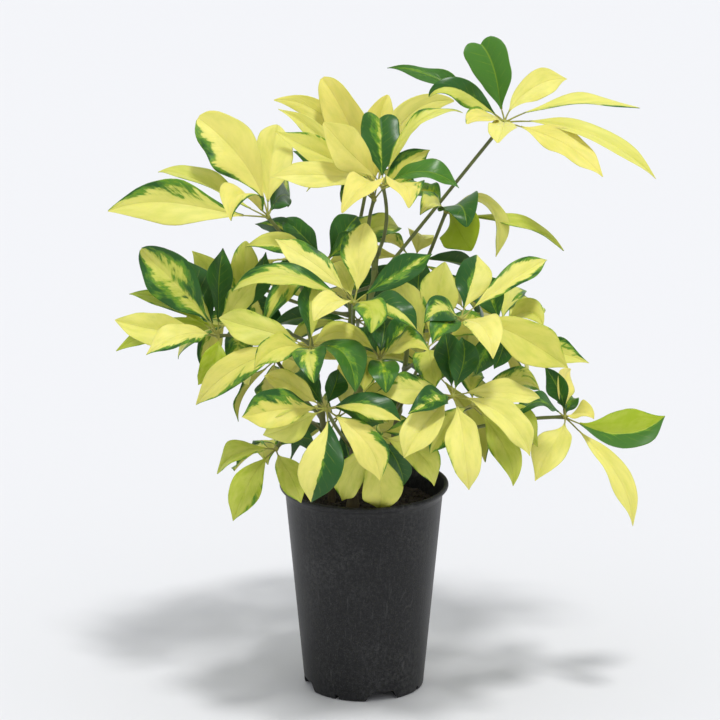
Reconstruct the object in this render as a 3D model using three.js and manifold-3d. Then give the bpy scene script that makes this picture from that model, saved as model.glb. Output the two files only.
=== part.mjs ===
// Potted umbrella plant: four leafy stems standing in soil in a black nursery pot.
// Millimetres, +Z up, +X to the right and -Y towards the viewer.
// The origin is the centre of the pot's flat base, on the floor.

import * as THREE from 'three';
import { mergeVertices } from 'three/addons/utils/BufferGeometryUtils.js';
import Module from 'manifold-3d';

const wasm = await Module();
wasm.setup();

// Pot
const POT_HEIGHT = 210;
const POT_RIM_RADIUS = 83.5;
const POT_BASE_RADIUS = 59.3;
const POT_NECK_RADIUS = 77.7; // outside, just under the lip
const POT_LIP_HEIGHT = 12;
const POT_BEAD = 5; // height of the round edge on top of the lip
const POT_WALL = 2;
const POT_FLOOR = 12; // thick enough for the cut-outs to run in under it
const POT_SIDES = 32;
const BASE_CHAMFER = 2;

// Cut-outs in the pot's bottom edge, a wide and a narrow one in each quarter turn, with slanted ends
const QUARTERS = 4;
const WIDE_CUT = { width: 34, topWidth: 23, height: 9.5, depth: 32, azimuth: 18 };
const NARROW_CUT = { width: 4.5, topWidth: 3.5, height: 5, depth: 10, azimuth: -27 };

// Soil
const SOIL_LEVEL = 185;
const SOIL_CROWN = 2.5; // how much higher it is in the middle
const GAP = 0.3; // between pieces that touch
const ROOT_DEPTH = 40; // how far the stems go down into it
const HOLE_SIDES = 10;
const COLLAR = 8; // straight part of a stem above the soil
const COLLAR_STEP = 0.3; // how much thicker that part is than the stem over it

// Stems and stalks
const STEM_SIDES = 6;
const STEM_STEPS = 6;
const STALK_RADIUS = 1.9;
const STALK_SIDES = 4;
const STALK_STEPS = 4;
const HUB_RADIUS = 5.4; // the knob where the leaflets of a leaf meet

// Leaflets
const SLIVER = 0.02; // edges shorter than this are closed up where pieces grow together
const BLADE_THICKNESS = 0.8;
const FOLD = 0.22; // how much the margins rise above the midrib, as a share of the half width
const NECK_WIDTH = 2;
const NECK_THICKNESS = 1.6;
const LEAFLET_START = 2.8; // from the hub's centre
// Half width of the blade, as a share of its greatest, at a share of the leaflet's length
const OUTLINE = [[0.14, 0.2], [0.46, 0.95], [0.78, 0.78]];

// The plant is laid out as it is seen from 5 m away and 17 degrees above level. A place is given as how far
// across and how far up it is seen, in the plane through the pot's axis, and how far in front of the axis it is.
const EYE_DISTANCE = 5000;
const EYE_PITCH = THREE.MathUtils.degToRad(17);
const EYE_AIM = [-4, 321];

// Stems: radius, place on the soil [x, y], then places [across, up, front] from the soil to the tip
const STEMS = {
  leafy_stem_left: {
    radius: 4.5, foot: [-32, 12],
    path: [[-40, 250, -8], [-50, 320, -5], [-61, 385, 0]],
  },
  leafy_stem_middle: {
    radius: 6, foot: [-11, -12],
    path: [[-8, 260, 5], [0, 335, 0], [14, 432, -20]],
  },
  leafy_stem_right: {
    radius: 4.5, foot: [22, 12],
    path: [[33, 260, -20], [43, 330, -25], [50, 392, -30]],
  },
  leafy_stem_back: {
    radius: 4.5, foot: [-2, 42],
    path: [[-5, 270, -50], [-12, 340, -65], [-16, 410, -80]],
  },
};

// Leaves seen from the front. Each has its stem, the share of the stem's height where its stalk starts, its hub,
// the bow of its stalk, and its leaflets. A row of leaflets is: tip across, up, front; bow of the midrib across,
// up, front; width; lean of the face from up to the viewer, and turn of the face to the right, in degrees.
const LEAVES = {
  leaf_a: {
    stem: 'leafy_stem_left', from: 0.98, hub: [-96, 464, 15], bow: [6, 4, 0],
    leaflets: [
      [-256, 470, -5, 4, 8, 10, 42, 65, -10],
      [-206, 509, -50, -8, 7, 0, 32, 0, 0],
      [-133, 460, 85, -4, 20, 8, 36, 50, -20],
      [-74, 483, -60, 0, 8, 0, 28, 60, 30],
      [-166, 563, -25, 10, 9, 0, 47, 70, -15],
      [-86, 556, -60, -3, 0, 6, 44, 75, 10],
      [-76, 507, -95, 0, 4, 0, 26, 60, 40],
    ],
  },
  leaf_b: {
    stem: 'leafy_stem_middle', from: 0.98, hub: [19, 494, 25], bow: [6, 0, 6],
    leaflets: [
      [-41, 558, 60, -4, 10, 5, 38, 60, 0],
      [-89, 550, 20, 0, 6, 5, 26, 45, 0],
      [-94, 504, 60, 0, 11, 5, 29, 55, 0],
      [-22, 468, 115, 4, 14, 10, 33, 55, -15],
      [15, 568, -15, 0, 0, 4, 38, 80, 5],
      [99, 568, -5, -11, 18, 0, 15, 30, 10],
      [95, 493, 45, 0, 19, 10, 28, 35, 0],
      [45, 473, 105, 3, 14, 12, 34, 55, 20],
    ],
  },
  leaf_b_upper: {
    stem: 'leafy_stem_middle', from: 0.92, hub: [10, 481, -30], bow: [-6, 0, 0],
    leaflets: [
      [-42, 603, -40, 5, 8, 4, 37, 70, -15],
      [-90, 581, -60, 3, 20, 0, 25, 55, 0],
      [-86, 572, -20, 2, 14, 0, 22, 55, 0],
      [-1, 551, -75, 0, 0, 0, 24, 75, -40],
      [24, 586, -75, -5, 0, 0, 34, 70, 10],
      [90, 580, -45, -10, 27, 0, 28, 65, 15],
      [-71, 530, -50, 0, 6, 0, 24, 60, 0],
      [66, 531, -60, 0, 6, 0, 26, 60, 10],
    ],
  },
  leaf_t: {
    stem: 'leafy_stem_middle', from: 0.86, hub: [141, 559, -45], bow: [3, 4, 0],
    leaflets: [
      [114, 643, -75, 0, 4, 0, 38, 80, -5],
      [23, 613, -90, 3, 8, 0, 20, 40, 0],
      [65, 584, -20, -10, 19, 5, 25, 60, -10],
      [103, 557, 20, -4, 10, 5, 26, 55, -15],
      [134, 538, 45, 0, 7, 8, 30, 60, 0],
      [203, 602, -90, -13, 3, 0, 29, 50, 5],
      [276, 573, -45, -10, 11, 0, 25, 15, 0],
      [239, 504, 15, 7, 7, 5, 34, 50, 10],
      [292, 502, -10, 1, 20, 5, 25, 35, 0],
    ],
  },
  leaf_c: {
    stem: 'leafy_stem_right', from: 0.98, hub: [82, 469, -35], bow: [0, 0, 0],
    leaflets: [
      [103, 454, 35, 2, 12, 8, 40, 45, 0],
      [107, 430, 5, 0, 8, 5, 48, 95, 0],
      [132, 424, -30, 13, 33, 0, 28, 20, 40],
      [200, 430, -40, 0, 6, 0, 26, 10, 0],
      [46, 488, -90, 0, 8, 0, 28, 30, 0],
      [56, 466, 34, 0, 8, 0, 26, 60, 0],
    ],
  },
  leaf_d: {
    stem: 'leafy_stem_middle', from: 0.6, hub: [-10, 378, 120], bow: [-4, -14, 0],
    leaflets: [
      [-89, 442, 80, 2, 10, 5, 30, 50, 0],
      [-131, 390, 105, -4, 20, 8, 26, 45, 0],
      [-50, 360, 175, 0, 10, 8, 32, 50, -15],
      [7, 348, 185, 6, 12, 10, 34, 60, 10],
      [1, 458, 75, 2, 0, 4, 34, 75, 0],
      [68, 427, 90, 0, 4, 4, 27, 60, 5],
      [53, 351, 155, 6, 14, 8, 32, 40, 15],
      [-30, 418, 62, 0, 4, 0, 24, 60, 0],
    ],
  },
  leaf_e: {
    stem: 'leafy_stem_left', from: 0.9, hub: [-40, 418, 12], bow: [0, 0, 0],
    leaflets: [
      [-109, 457, -45, 0, 8, 0, 26, 50, 0],
      [-119, 434, 50, 0, 8, 0, 26, 45, 0],
      [-79, 463, -40, 0, 6, 0, 26, 60, 0],
      [-7, 465, -30, 0, 0, 4, 30, 75, 0],
      [7, 444, 12, 0, 6, 0, 24, 50, 0],
      [36, 452, -85, 0, 10, 0, 34, 55, 0],
      [-101, 353, 95, 6, 18, 12, 26, 50, 0],
    ],
  },
  leaf_f: {
    stem: 'leafy_stem_left', from: 0.66, hub: [-146, 345, 30], bow: [0, 10, 0],
    leaflets: [
      [-223, 432, -10, 1, 8, 4, 46, 75, -20],
      [-186, 424, -40, 0, 3, 0, 34, 70, 20],
      [-141, 433, -20, 0, 0, 4, 29, 75, 30],
      [-106, 400, 25, 0, 6, 0, 26, 60, 25],
      [-235, 387, -20, 0, 13, 0, 23, 30, 0],
      [-249, 361, 15, -5, 0, 4, 35, 60, 0],
      [-218, 326, 75, 0, 13, 10, 31, 45, 0],
      [-166, 296, 50, 7, 10, 8, 28, 100, 0],
    ],
  },
  leaf_f_inner: {
    stem: 'leafy_stem_left', from: 0.76, hub: [-124, 356, -35], bow: [0, 6, 0],
    leaflets: [
      [-172, 430, -75, 0, 6, 0, 28, 60, 0],
      [-118, 440, -80, 0, 4, 0, 30, 60, 0],
      [-98, 429, -45, 0, 4, 0, 26, 50, 30],
      [-248, 330, -30, 0, 6, 0, 28, 40, 0],
      [-186, 322, -95, 0, 12, 0, 34, 30, 0],
      [-130, 310, 20, 0, 10, 0, 30, 50, 0],
    ],
  },
  leaf_g: {
    stem: 'leafy_stem_left', from: 0.5, hub: [-54, 333, 140], bow: [0, 8, 0],
    leaflets: [
      [-145, 363, 115, 0, 6, 5, 33, 60, 0],
      [-168, 276, 125, -10, 16, 10, 33, 55, 0],
      [-49, 402, 110, 0, 0, 4, 26, 85, 10],
      [-9, 289, 180, 10, 20, 10, 36, 55, 30],
      [-50, 298, 205, 0, 10, 8, 32, 60, 0],
      [-110, 312, 175, 0, 10, 6, 28, 50, 0],
    ],
  },
  leaf_h: {
    stem: 'leafy_stem_middle', from: 0.5, hub: [16, 323, 125], bow: [0, -8, 0],
    leaflets: [
      [-51, 337, 128, 0, 20, 4, 28, 30, -10],
      [-6, 354, 85, 0, 0, 0, 24, 70, 0],
      [18, 366, 80, 0, 0, 0, 24, 85, 0],
      [51, 357, 100, 0, 6, 0, 26, 50, 0],
      [65, 330, 165, 0, 10, 5, 28, 45, 0],
      [22, 288, 180, 2, 8, 12, 28, 70, 10],
      [0, 290, 170, -4, 8, 12, 26, 70, -15],
    ],
  },
  leaf_i: {
    stem: 'leafy_stem_middle', from: 0.22, hub: [-38, 272, 165], bow: [0, -4, 0],
    leaflets: [
      [-100, 305, 145, 0, 4, 5, 26, 55, 0],
      [-69, 308, 125, 0, 2, 0, 24, 70, 0],
      [-26, 312, 130, 0, 0, 0, 24, 80, 10],
      [37, 260, 185, 0, 12, 8, 30, 45, 0],
      [20, 258, 150, 0, 6, 0, 28, 45, 0],
      [16, 200, 195, 6, 9, 12, 33, 75, 15],
      [-53, 179, 195, 4, 8, 16, 44, 80, 0],
      [-122, 264, 178, 2, 7, 8, 41, 58, 0],
      [-101, 246, 175, 0, 2, 10, 30, 85, 0],
    ],
  },
  leaf_j: {
    stem: 'leafy_stem_left', from: 0.3, hub: [-88, 232, 110], bow: [4, 22, 0],
    leaflets: [
      [-147, 207, 110, -3, 10, 4, 28, 30, 0],
      [-131, 160, 140, -6, 8, 12, 28, 80, -15],
      [-63, 178, 150, -2, 6, 12, 30, 80, 15],
      [-51, 241, 75, 0, 6, 0, 30, 45, 0],
      [-130, 210, 35, 0, 8, 0, 30, 40, 0],
      [-96, 216, 20, 0, 14, 0, 30, 30, 0],
    ],
  },
  leaf_k: {
    stem: 'leafy_stem_right', from: 0.3, hub: [89, 285, 140], bow: [0, 6, 0],
    leaflets: [
      [98, 344, 115, 2, 0, 4, 28, 80, 0],
      [81, 350, 95, 0, 0, 4, 28, 80, -15],
      [11, 288, 165, 0, 6, 8, 32, 50, 0],
      [44, 267, 190, 0, 8, 8, 26, 50, 0],
      [40, 223, 190, -4, 8, 12, 36, 70, -15],
      [105, 191, 190, 4, 8, 16, 36, 80, 5],
      [166, 225, 170, 4, 16, 10, 31, 50, 15],
      [176, 283, 125, 0, 8, 5, 28, 45, 0],
    ],
  },
  leaf_l: {
    stem: 'leafy_stem_right', from: 0.2, hub: [201, 264, 40], bow: [0, 10, 0],
    leaflets: [
      [171, 200, 95, 7, 8, 12, 33, 80, -10],
      [152, 263, 82, -4, 18, 8, 28, 35, 0],
      [181, 314, 0, 5, 0, 0, 23, 80, -15],
      [207, 312, -20, -4, 2, 0, 26, 75, 30],
      [208, 285, 5, 0, 2, 0, 20, 40, 0],
      [230, 262, 65, 4, 8, 8, 22, 30, 0],
      [301, 265, 20, 0, -12, 5, 42, 50, 0],
      [269, 155, 75, 9, 7, 14, 25, 75, 30],
    ],
  },
  leaf_m: {
    stem: 'leafy_stem_right', from: 0.62, hub: [97, 362, 110], bow: [0, -6, 0],
    leaflets: [
      [113, 426, 60, 0, 0, 4, 33, 75, 0],
      [183, 421, 50, 0, 7, 4, 25, 40, 0],
      [204, 313, 120, 1, 14, 10, 42, 60, 0],
      [129, 322, 180, 4, 12, 10, 36, 60, 15],
      [60, 358, 155, 0, 10, 5, 28, 50, 0],
      [68, 338, 175, 0, 8, 6, 26, 50, 0],
    ],
  },
  leaf_n: {
    stem: 'leafy_stem_right', from: 0.5, hub: [138, 353, 30], bow: [0, -10, 0],
    leaflets: [
      [119, 408, 0, 0, 0, 4, 30, 80, 0],
      [179, 356, 75, 2, 12, 5, 30, 50, 0],
      [130, 312, 70, 4, 6, 8, 26, 80, 0],
      [225, 318, 45, 0, -4, 5, 24, 45, 0],
      [112, 306, 45, 0, 8, 8, 26, 70, 0],
      [176, 374, -40, 0, 8, 0, 30, 40, 0],
      [144, 396, -70, 0, 10, 0, 34, 40, 0],
    ],
  },
  leaf_p: {
    stem: 'leafy_stem_right', from: 0.42, hub: [63, 333, 60], bow: [0, 0, 0],
    leaflets: [
      [81, 419, 30, 0, 0, 4, 36, 80, 5],
      [33, 403, 45, 0, 0, 4, 34, 80, -10],
      [60, 424, -15, -6, 8, 0, 30, 50, 0],
      [126, 350, 20, 0, 10, 0, 32, 40, 0],
      [-10, 330, 60, 0, 12, 0, 30, 40, 0],
      [70, 290, 120, 0, 12, 8, 32, 60, 0],
    ],
  },
  leaf_q: {
    stem: 'leafy_stem_right', from: 0.12, hub: [108, 275, 70], bow: [0, 8, 0],
    leaflets: [
      [149, 195, 115, 13, 3, 10, 26, 85, 10],
      [174, 234, 90, 2, 12, 2, 26, 60, 30],
      [176, 290, 20, 0, 12, 0, 32, 30, 0],
      [110, 305, -10, 0, 10, 0, 30, 40, 0],
      [66, 227, 101, -2, 12, 8, 28, 70, 0],
    ],
  },
  leaf_r: {
    stem: 'leafy_stem_middle', from: 0.12, hub: [12, 246, 72], bow: [0, 6, 0],
    leaflets: [
      [16, 172, 66, 0, 4, 14, 40, 90, 10],
      [-22, 180, 62, -4, 6, 10, 32, 90, -15],
      [40, 196, 62, 4, 6, 8, 26, 85, 20],
      [70, 195, 100, 8, 10, 10, 30, 75, 15],
      [24, 258, 120, 0, 8, 4, 26, 60, 0],
      [68, 231, 46, 0, 10, 0, 30, 40, 0],
    ],
  },
};

// Leaves at the back and sides, each an even ring of leaflets round its hub. lean and turn aim the top of the
// ring, droop is how far the leaflets hang below it, and spin starts the ring.
const RINGS = {
  ring_back_top: {
    stem: 'leafy_stem_back', from: 0.99, hub: [6, 512, -125], count: 6, length: 84,
    width: 31, lean: -30, turn: -5, droop: 14, spin: 10,
  },
  ring_back_right: {
    stem: 'leafy_stem_back', from: 0.9, hub: [50, 421, -160], count: 7, length: 104,
    width: 36, lean: -50, turn: 15, droop: 18, spin: 30,
  },
  ring_back_left: {
    stem: 'leafy_stem_back', from: 0.8, hub: [-112, 398, -142], count: 7, length: 104,
    width: 36, lean: -45, turn: -25, droop: 20, spin: -10,
  },
  ring_right_side: {
    stem: 'leafy_stem_right', from: 0.8, hub: [106, 366, -112], count: 7, length: 104,
    width: 36, lean: -40, turn: 30, droop: 22, spin: 18,
  },
  ring_back_middle: {
    stem: 'leafy_stem_back', from: 0.6, hub: [-6, 360, -206], count: 7, length: 112,
    width: 38, lean: -60, turn: 0, droop: 20, spin: 5,
  },
  ring_left_low: {
    stem: 'leafy_stem_left', from: 0.4, hub: [-88, 322, -72], count: 6, length: 82,
    width: 32, lean: -40, turn: -40, droop: 16, spin: 36,
  },
  ring_back_low: {
    stem: 'leafy_stem_back', from: 0.4, hub: [70, 310, -170], count: 7, length: 108,
    width: 38, lean: -60, turn: 25, droop: 24, spin: 22,
  },
  ring_low_left: {
    stem: 'leafy_stem_back', from: 0.25, hub: [-26, 264, -152], count: 7, length: 104,
    width: 36, lean: -65, turn: -30, droop: 26, spin: 12,
  },
};
// The stalk side of a ring has shorter leaflets, by this share
const RING_SHORTENING = 0.2;

const COLOURS = { pot: '#1c1d1f', soil: '#17130f', leaf: '#b9bd4f' };

// Places and directions

function place([across, up, front]) {
  const sin = Math.sin(EYE_PITCH);
  const cos = Math.cos(EYE_PITCH);
  const onPlane = (a, u) => new THREE.Vector3(a, u * sin, u * cos);
  const towards = new THREE.Vector3(0, cos, -sin);
  const eye = onPlane(...EYE_AIM).addScaledVector(towards, -EYE_DISTANCE);
  const sight = onPlane(across, up).sub(eye);
  return eye.clone().addScaledVector(sight, (-front - eye.y) / sight.y);
}

function facing(lean, turn) {
  const l = THREE.MathUtils.degToRad(lean);
  const t = THREE.MathUtils.degToRad(turn);
  return new THREE.Vector3(Math.sin(t), -Math.cos(t) * Math.sin(l), Math.cos(t) * Math.cos(l));
}

// Solids

function solid(geometry) {
  const bare = geometry.clone();
  bare.deleteAttribute('normal');
  bare.deleteAttribute('uv');
  const merged = mergeVertices(bare, 1e-4);
  return new wasm.Manifold(new wasm.Mesh({
    numProp: 3,
    vertProperties: merged.attributes.position.array,
    triVerts: new Uint32Array(merged.index.array),
  }));
}

function node(name, body, colour, roughness) {
  const { vertProperties, triVerts } = body.getMesh();
  const geometry = new THREE.BufferGeometry();
  geometry.setAttribute('position', new THREE.BufferAttribute(vertProperties, 3));
  geometry.setIndex(new THREE.BufferAttribute(triVerts, 1));
  geometry.computeVertexNormals();
  const material = new THREE.MeshStandardMaterial({ color: colour, roughness, metalness: 0 });
  const mesh = new THREE.Mesh(geometry, material);
  mesh.name = name;
  return mesh;
}

// A bar of round section along a curve
function bar(curve, radius, sides, steps) {
  const corners = Array.from({ length: sides }, (_, i) => {
    const angle = (2 * Math.PI * i) / sides;
    return new THREE.Vector2(radius * Math.cos(angle), radius * Math.sin(angle));
  });
  return solid(new THREE.ExtrudeGeometry(new THREE.Shape(corners), { steps, extrudePath: curve }));
}

function turned(profile) {
  const points = profile.map(([r, z]) => new THREE.Vector2(r, z));
  return solid(new THREE.LatheGeometry(points, POT_SIDES).rotateX(Math.PI / 2));
}

// Pot and soil

function innerRadius(z) {
  const rise = (z - BASE_CHAMFER) / (POT_HEIGHT - POT_LIP_HEIGHT - BASE_CHAMFER);
  return THREE.MathUtils.lerp(POT_BASE_RADIUS, POT_NECK_RADIUS, rise) - POT_WALL;
}

function cutOut({ width, topWidth, height, depth, azimuth }, quarter) {
  const slant = (width - topWidth) / 2;
  const outline = new THREE.Shape([
    new THREE.Vector2(-width / 2 - slant, -height),
    new THREE.Vector2(width / 2 + slant, -height),
    new THREE.Vector2(topWidth / 2, height),
    new THREE.Vector2(-topWidth / 2, height),
  ]);
  const channel = new THREE.ExtrudeGeometry(outline, { depth: 2 * depth, bevelEnabled: false });
  channel.rotateX(Math.PI / 2).translate(0, depth - POT_BASE_RADIUS, 0);
  channel.rotateZ(THREE.MathUtils.degToRad(azimuth + (360 / QUARTERS) * quarter));
  return solid(channel);
}

function potBody() {
  const lipBottom = POT_HEIGHT - POT_LIP_HEIGHT;
  let pot = turned([
    [0, 0],
    [POT_BASE_RADIUS - BASE_CHAMFER, 0],
    [POT_BASE_RADIUS, BASE_CHAMFER],
    [POT_NECK_RADIUS, lipBottom],
    [POT_RIM_RADIUS - 2.4, POT_HEIGHT - POT_BEAD - 1.5],
    [POT_RIM_RADIUS, POT_HEIGHT - POT_BEAD + 1],
    [POT_RIM_RADIUS, POT_HEIGHT - 2],
    [POT_RIM_RADIUS - 1.8, POT_HEIGHT],
    [POT_RIM_RADIUS - 4, POT_HEIGHT - 0.6],
    [innerRadius(lipBottom), lipBottom],
    [innerRadius(POT_FLOOR), POT_FLOOR],
    [0, POT_FLOOR],
  ]);
  for (let quarter = 0; quarter < QUARTERS; quarter += 1) {
    pot = pot.subtract(cutOut(WIDE_CUT, quarter));
    pot = pot.subtract(cutOut(NARROW_CUT, quarter));
  }
  return pot;
}

function stemHole({ radius, foot: [x, y] }) {
  const acrossFlats = (radius + GAP) / Math.cos(Math.PI / HOLE_SIDES);
  const depth = ROOT_DEPTH + GAP;
  const hole = new THREE.CylinderGeometry(acrossFlats, acrossFlats, 2 * depth, HOLE_SIDES);
  return solid(hole.rotateX(Math.PI / 2).translate(x, y, SOIL_LEVEL));
}

function soilBody() {
  const floor = POT_FLOOR + GAP;
  const soil = turned([
    [0, floor],
    [innerRadius(floor) - GAP, floor],
    [innerRadius(SOIL_LEVEL) - GAP, SOIL_LEVEL - 1],
    [0, SOIL_LEVEL + SOIL_CROWN],
  ]);
  return Object.values(STEMS).reduce((body, stem) => body.subtract(stemHole(stem)), soil);
}

// Leafy stems

function stemCurve({ foot: [x, y], path }) {
  const bottom = new THREE.Vector3(x, y, SOIL_LEVEL + COLLAR / 2);
  const collar = new THREE.Vector3(x, y, SOIL_LEVEL + 2 * COLLAR);
  return new THREE.CatmullRomCurve3([bottom, collar, ...path.map(place)]);
}

function stemBody(stem) {
  const [x, y] = stem.foot;
  const length = ROOT_DEPTH + COLLAR;
  const root = new THREE.CylinderGeometry(stem.radius, stem.radius, length, STEM_SIDES);
  root.rotateX(Math.PI / 2).translate(x, y, SOIL_LEVEL + COLLAR - length / 2);
  const shoot = bar(stemCurve(stem), stem.radius - COLLAR_STEP, STEM_SIDES, STEM_STEPS);
  return shoot.add(solid(root));
}

function leaflet(hub, tip, bow, width, face) {
  const control = hub.clone().lerp(tip, 0.5).addScaledVector(bow, 2);
  const midrib = new THREE.QuadraticBezierCurve3(hub, control, tip);
  const vertices = [];
  const addRing = (share, halfWidth, edgeThickness, ribThickness, fold) => {
    const along = midrib.getTangentAt(share);
    const upper = face.clone().addScaledVector(along, -face.dot(along)).normalize();
    const right = along.clone().cross(upper);
    const centre = midrib.getPointAt(share);
    const corner = (side, thickness) => centre.clone()
      .addScaledVector(right, side * halfWidth)
      .addScaledVector(upper, Math.abs(side) * fold * halfWidth + thickness / 2);
    vertices.push(
      corner(-1, edgeThickness), corner(0, ribThickness), corner(1, edgeThickness),
      corner(1, -edgeThickness), corner(0, -ribThickness), corner(-1, -edgeThickness),
    );
  };
  const neck = NECK_WIDTH / 2;
  addRing(LEAFLET_START / midrib.getLength(), neck, BLADE_THICKNESS, NECK_THICKNESS, 0);
  OUTLINE.forEach(([share, halfWidth], i) => {
    const rib = i === 0 ? NECK_THICKNESS : BLADE_THICKNESS;
    addRing(share, Math.max(neck, (halfWidth * width) / 2), BLADE_THICKNESS, rib, FOLD);
  });
  vertices.push(tip);

  const triangles = [[0, 5, 4], [0, 4, 1], [1, 4, 3], [1, 3, 2]];
  for (let ring = 0; ring < OUTLINE.length; ring += 1) {
    for (let side = 0; side < 6; side += 1) {
      const a = ring * 6 + side;
      const b = ring * 6 + ((side + 1) % 6);
      const underneath = side === 3 || side === 4;
      if (underneath) triangles.push([a, b, b + 6], [a, b + 6, a + 6]);
      else triangles.push([a, b, a + 6], [b, b + 6, a + 6]);
    }
  }
  const last = OUTLINE.length * 6;
  for (let side = 0; side < 6; side += 1) {
    triangles.push([last + side, last + ((side + 1) % 6), last + 6]);
  }
  const geometry = new THREE.BufferGeometry().setFromPoints(vertices);
  geometry.setIndex(triangles.flat());
  return solid(geometry);
}

function hubAndStalk(leaf, hub, bow) {
  const start = stemCurve(STEMS[leaf.stem]).getPointAt(leaf.from);
  const control = start.clone().lerp(hub, 0.5).addScaledVector(bow, 2);
  const stalk = bar(new THREE.QuadraticBezierCurve3(start, control, hub), STALK_RADIUS, STALK_SIDES, STALK_STEPS);
  return stalk.add(solid(new THREE.OctahedronGeometry(HUB_RADIUS).translate(...hub.toArray())));
}

function bowVector([across, up, front]) {
  return new THREE.Vector3(across, -front, up);
}

function frontLeaf(leaf) {
  const hub = place(leaf.hub);
  const leaflets = leaf.leaflets.map((row) => {
    const [width, lean, turn] = row.slice(6);
    return leaflet(hub, place(row.slice(0, 3)), bowVector(row.slice(3, 6)), width, facing(lean, turn));
  });
  return [hubAndStalk(leaf, hub, bowVector(leaf.bow)), ...leaflets];
}

function ringLeaf(leaf) {
  const hub = place(leaf.hub);
  const top = facing(leaf.lean, leaf.turn);
  const outward = hub.clone().sub(stemCurve(STEMS[leaf.stem]).getPointAt(leaf.from));
  outward.addScaledVector(top, -outward.dot(top)).normalize();
  const sideways = top.clone().cross(outward);
  const droop = THREE.MathUtils.degToRad(leaf.droop);
  const leaflets = Array.from({ length: leaf.count }, (_, i) => {
    const angle = THREE.MathUtils.degToRad(leaf.spin + (360 * i) / leaf.count);
    const length = leaf.length * (1 - RING_SHORTENING * (0.5 - 0.5 * Math.cos(angle)));
    const flat = outward.clone().multiplyScalar(Math.cos(angle)).addScaledVector(sideways, Math.sin(angle));
    const tip = hub.clone()
      .addScaledVector(flat, length * Math.cos(droop))
      .addScaledVector(top, -length * Math.sin(droop));
    const bow = top.clone().multiplyScalar(0.1 * length);
    return leaflet(hub, tip, bow, leaf.width * (length / leaf.length), top);
  });
  return [hubAndStalk(leaf, hub, new THREE.Vector3(0, 0, -0.05 * leaf.length)), ...leaflets];
}

function leafyStem(name) {
  const own = (leaves) => Object.values(leaves).filter((leaf) => leaf.stem === name);
  const pieces = [...own(LEAVES).flatMap(frontLeaf), ...own(RINGS).flatMap(ringLeaf)];
  const grown = pieces.reduce((body, piece) => body.add(piece), stemBody(STEMS[name]));
  return grown.simplify(SLIVER);
}

const plant = new THREE.Group();
plant.add(node('pot', potBody(), COLOURS.pot, 0.45));
plant.add(node('soil', soilBody(), COLOURS.soil, 0.95));
for (const name of Object.keys(STEMS)) {
  plant.add(node(name, leafyStem(name), COLOURS.leaf, 0.35));
}

export default plant;
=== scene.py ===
"""A potted umbrella plant: leafy stems of variegated leaves in the soil of a black nursery pot.

Each piece is built round the solid that it stands for, in metres and in the solids' own frame, and the whole
stands on a pale studio floor.
"""

import math
from collections import namedtuple

import bpy
import numpy as np
from bpy.props import FloatProperty, FloatVectorProperty, IntProperty, PointerProperty
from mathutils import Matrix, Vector


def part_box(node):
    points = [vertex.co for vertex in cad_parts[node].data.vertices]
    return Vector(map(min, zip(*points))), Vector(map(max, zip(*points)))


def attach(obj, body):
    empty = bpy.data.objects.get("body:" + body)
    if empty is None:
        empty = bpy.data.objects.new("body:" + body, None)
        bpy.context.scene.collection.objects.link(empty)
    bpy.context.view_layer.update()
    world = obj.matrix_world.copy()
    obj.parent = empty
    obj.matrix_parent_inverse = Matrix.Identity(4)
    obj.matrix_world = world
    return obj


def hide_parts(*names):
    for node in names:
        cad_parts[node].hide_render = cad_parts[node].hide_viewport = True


bl_info = {
    "name": "Potted umbrella plant",
    "version": (1, 0, 0),
    "blender": (4, 5, 0),
    "location": "View3D > Sidebar > Umbrella plant",
    "description": "Builds a variegated umbrella plant in a nursery pot round its solids",
    "category": "Add Mesh",
}

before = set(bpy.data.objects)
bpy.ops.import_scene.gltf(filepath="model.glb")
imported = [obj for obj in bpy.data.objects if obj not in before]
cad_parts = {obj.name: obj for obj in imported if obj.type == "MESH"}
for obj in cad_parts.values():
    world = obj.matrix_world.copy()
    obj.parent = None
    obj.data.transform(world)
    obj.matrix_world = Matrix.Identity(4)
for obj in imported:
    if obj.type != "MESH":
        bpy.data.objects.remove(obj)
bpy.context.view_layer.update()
POT_HIGH = Vector(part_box("pot")[1])
SOIL_HIGH = Vector(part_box("soil")[1])

# Lengths in the tables below are millimetres
MM = 0.001

# The plant is laid out as it is seen from 5 m away and 17 degrees above level. A place is given as how far
# across and how far up it is seen, in the plane through the pot's axis, and how far in front of that it is.
EYE_DISTANCE = 5000
EYE_PITCH = math.radians(17)
EYE_AIM = (-4, 321)
TOWARDS = Vector((0, math.cos(EYE_PITCH), -math.sin(EYE_PITCH)))
PLANE_UP = Vector((0, math.sin(EYE_PITCH), math.cos(EYE_PITCH)))
EYE = Vector((EYE_AIM[0], 0, 0)) + PLANE_UP * EYE_AIM[1] - TOWARDS * EYE_DISTANCE

Stem = namedtuple("Stem", "radius foot path")
Leaf = namedtuple("Leaf", "stem share hub bow leaflets")
Ring = namedtuple("Ring", "stem share hub count length width lean turn droop spin")

LEFT, MIDDLE, RIGHT, BACK = "leafy_stem_left", "leafy_stem_middle", "leafy_stem_right", "leafy_stem_back"

# Radius, foot on the soil (x, y), then places from the soil to the tip
STEMS = {
    LEFT: Stem(4.5, (-32, 12), [(-40, 250, -8), (-50, 320, -5), (-61, 385, 0)]),
    MIDDLE: Stem(6, (-11, -12), [(-8, 260, 5), (0, 335, 0), (14, 432, -20)]),
    RIGHT: Stem(4.5, (22, 12), [(33, 260, -20), (43, 330, -25), (50, 392, -30)]),
    BACK: Stem(4.5, (-2, 42), [(-5, 270, -50), (-12, 340, -65), (-16, 410, -80)]),
}

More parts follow.
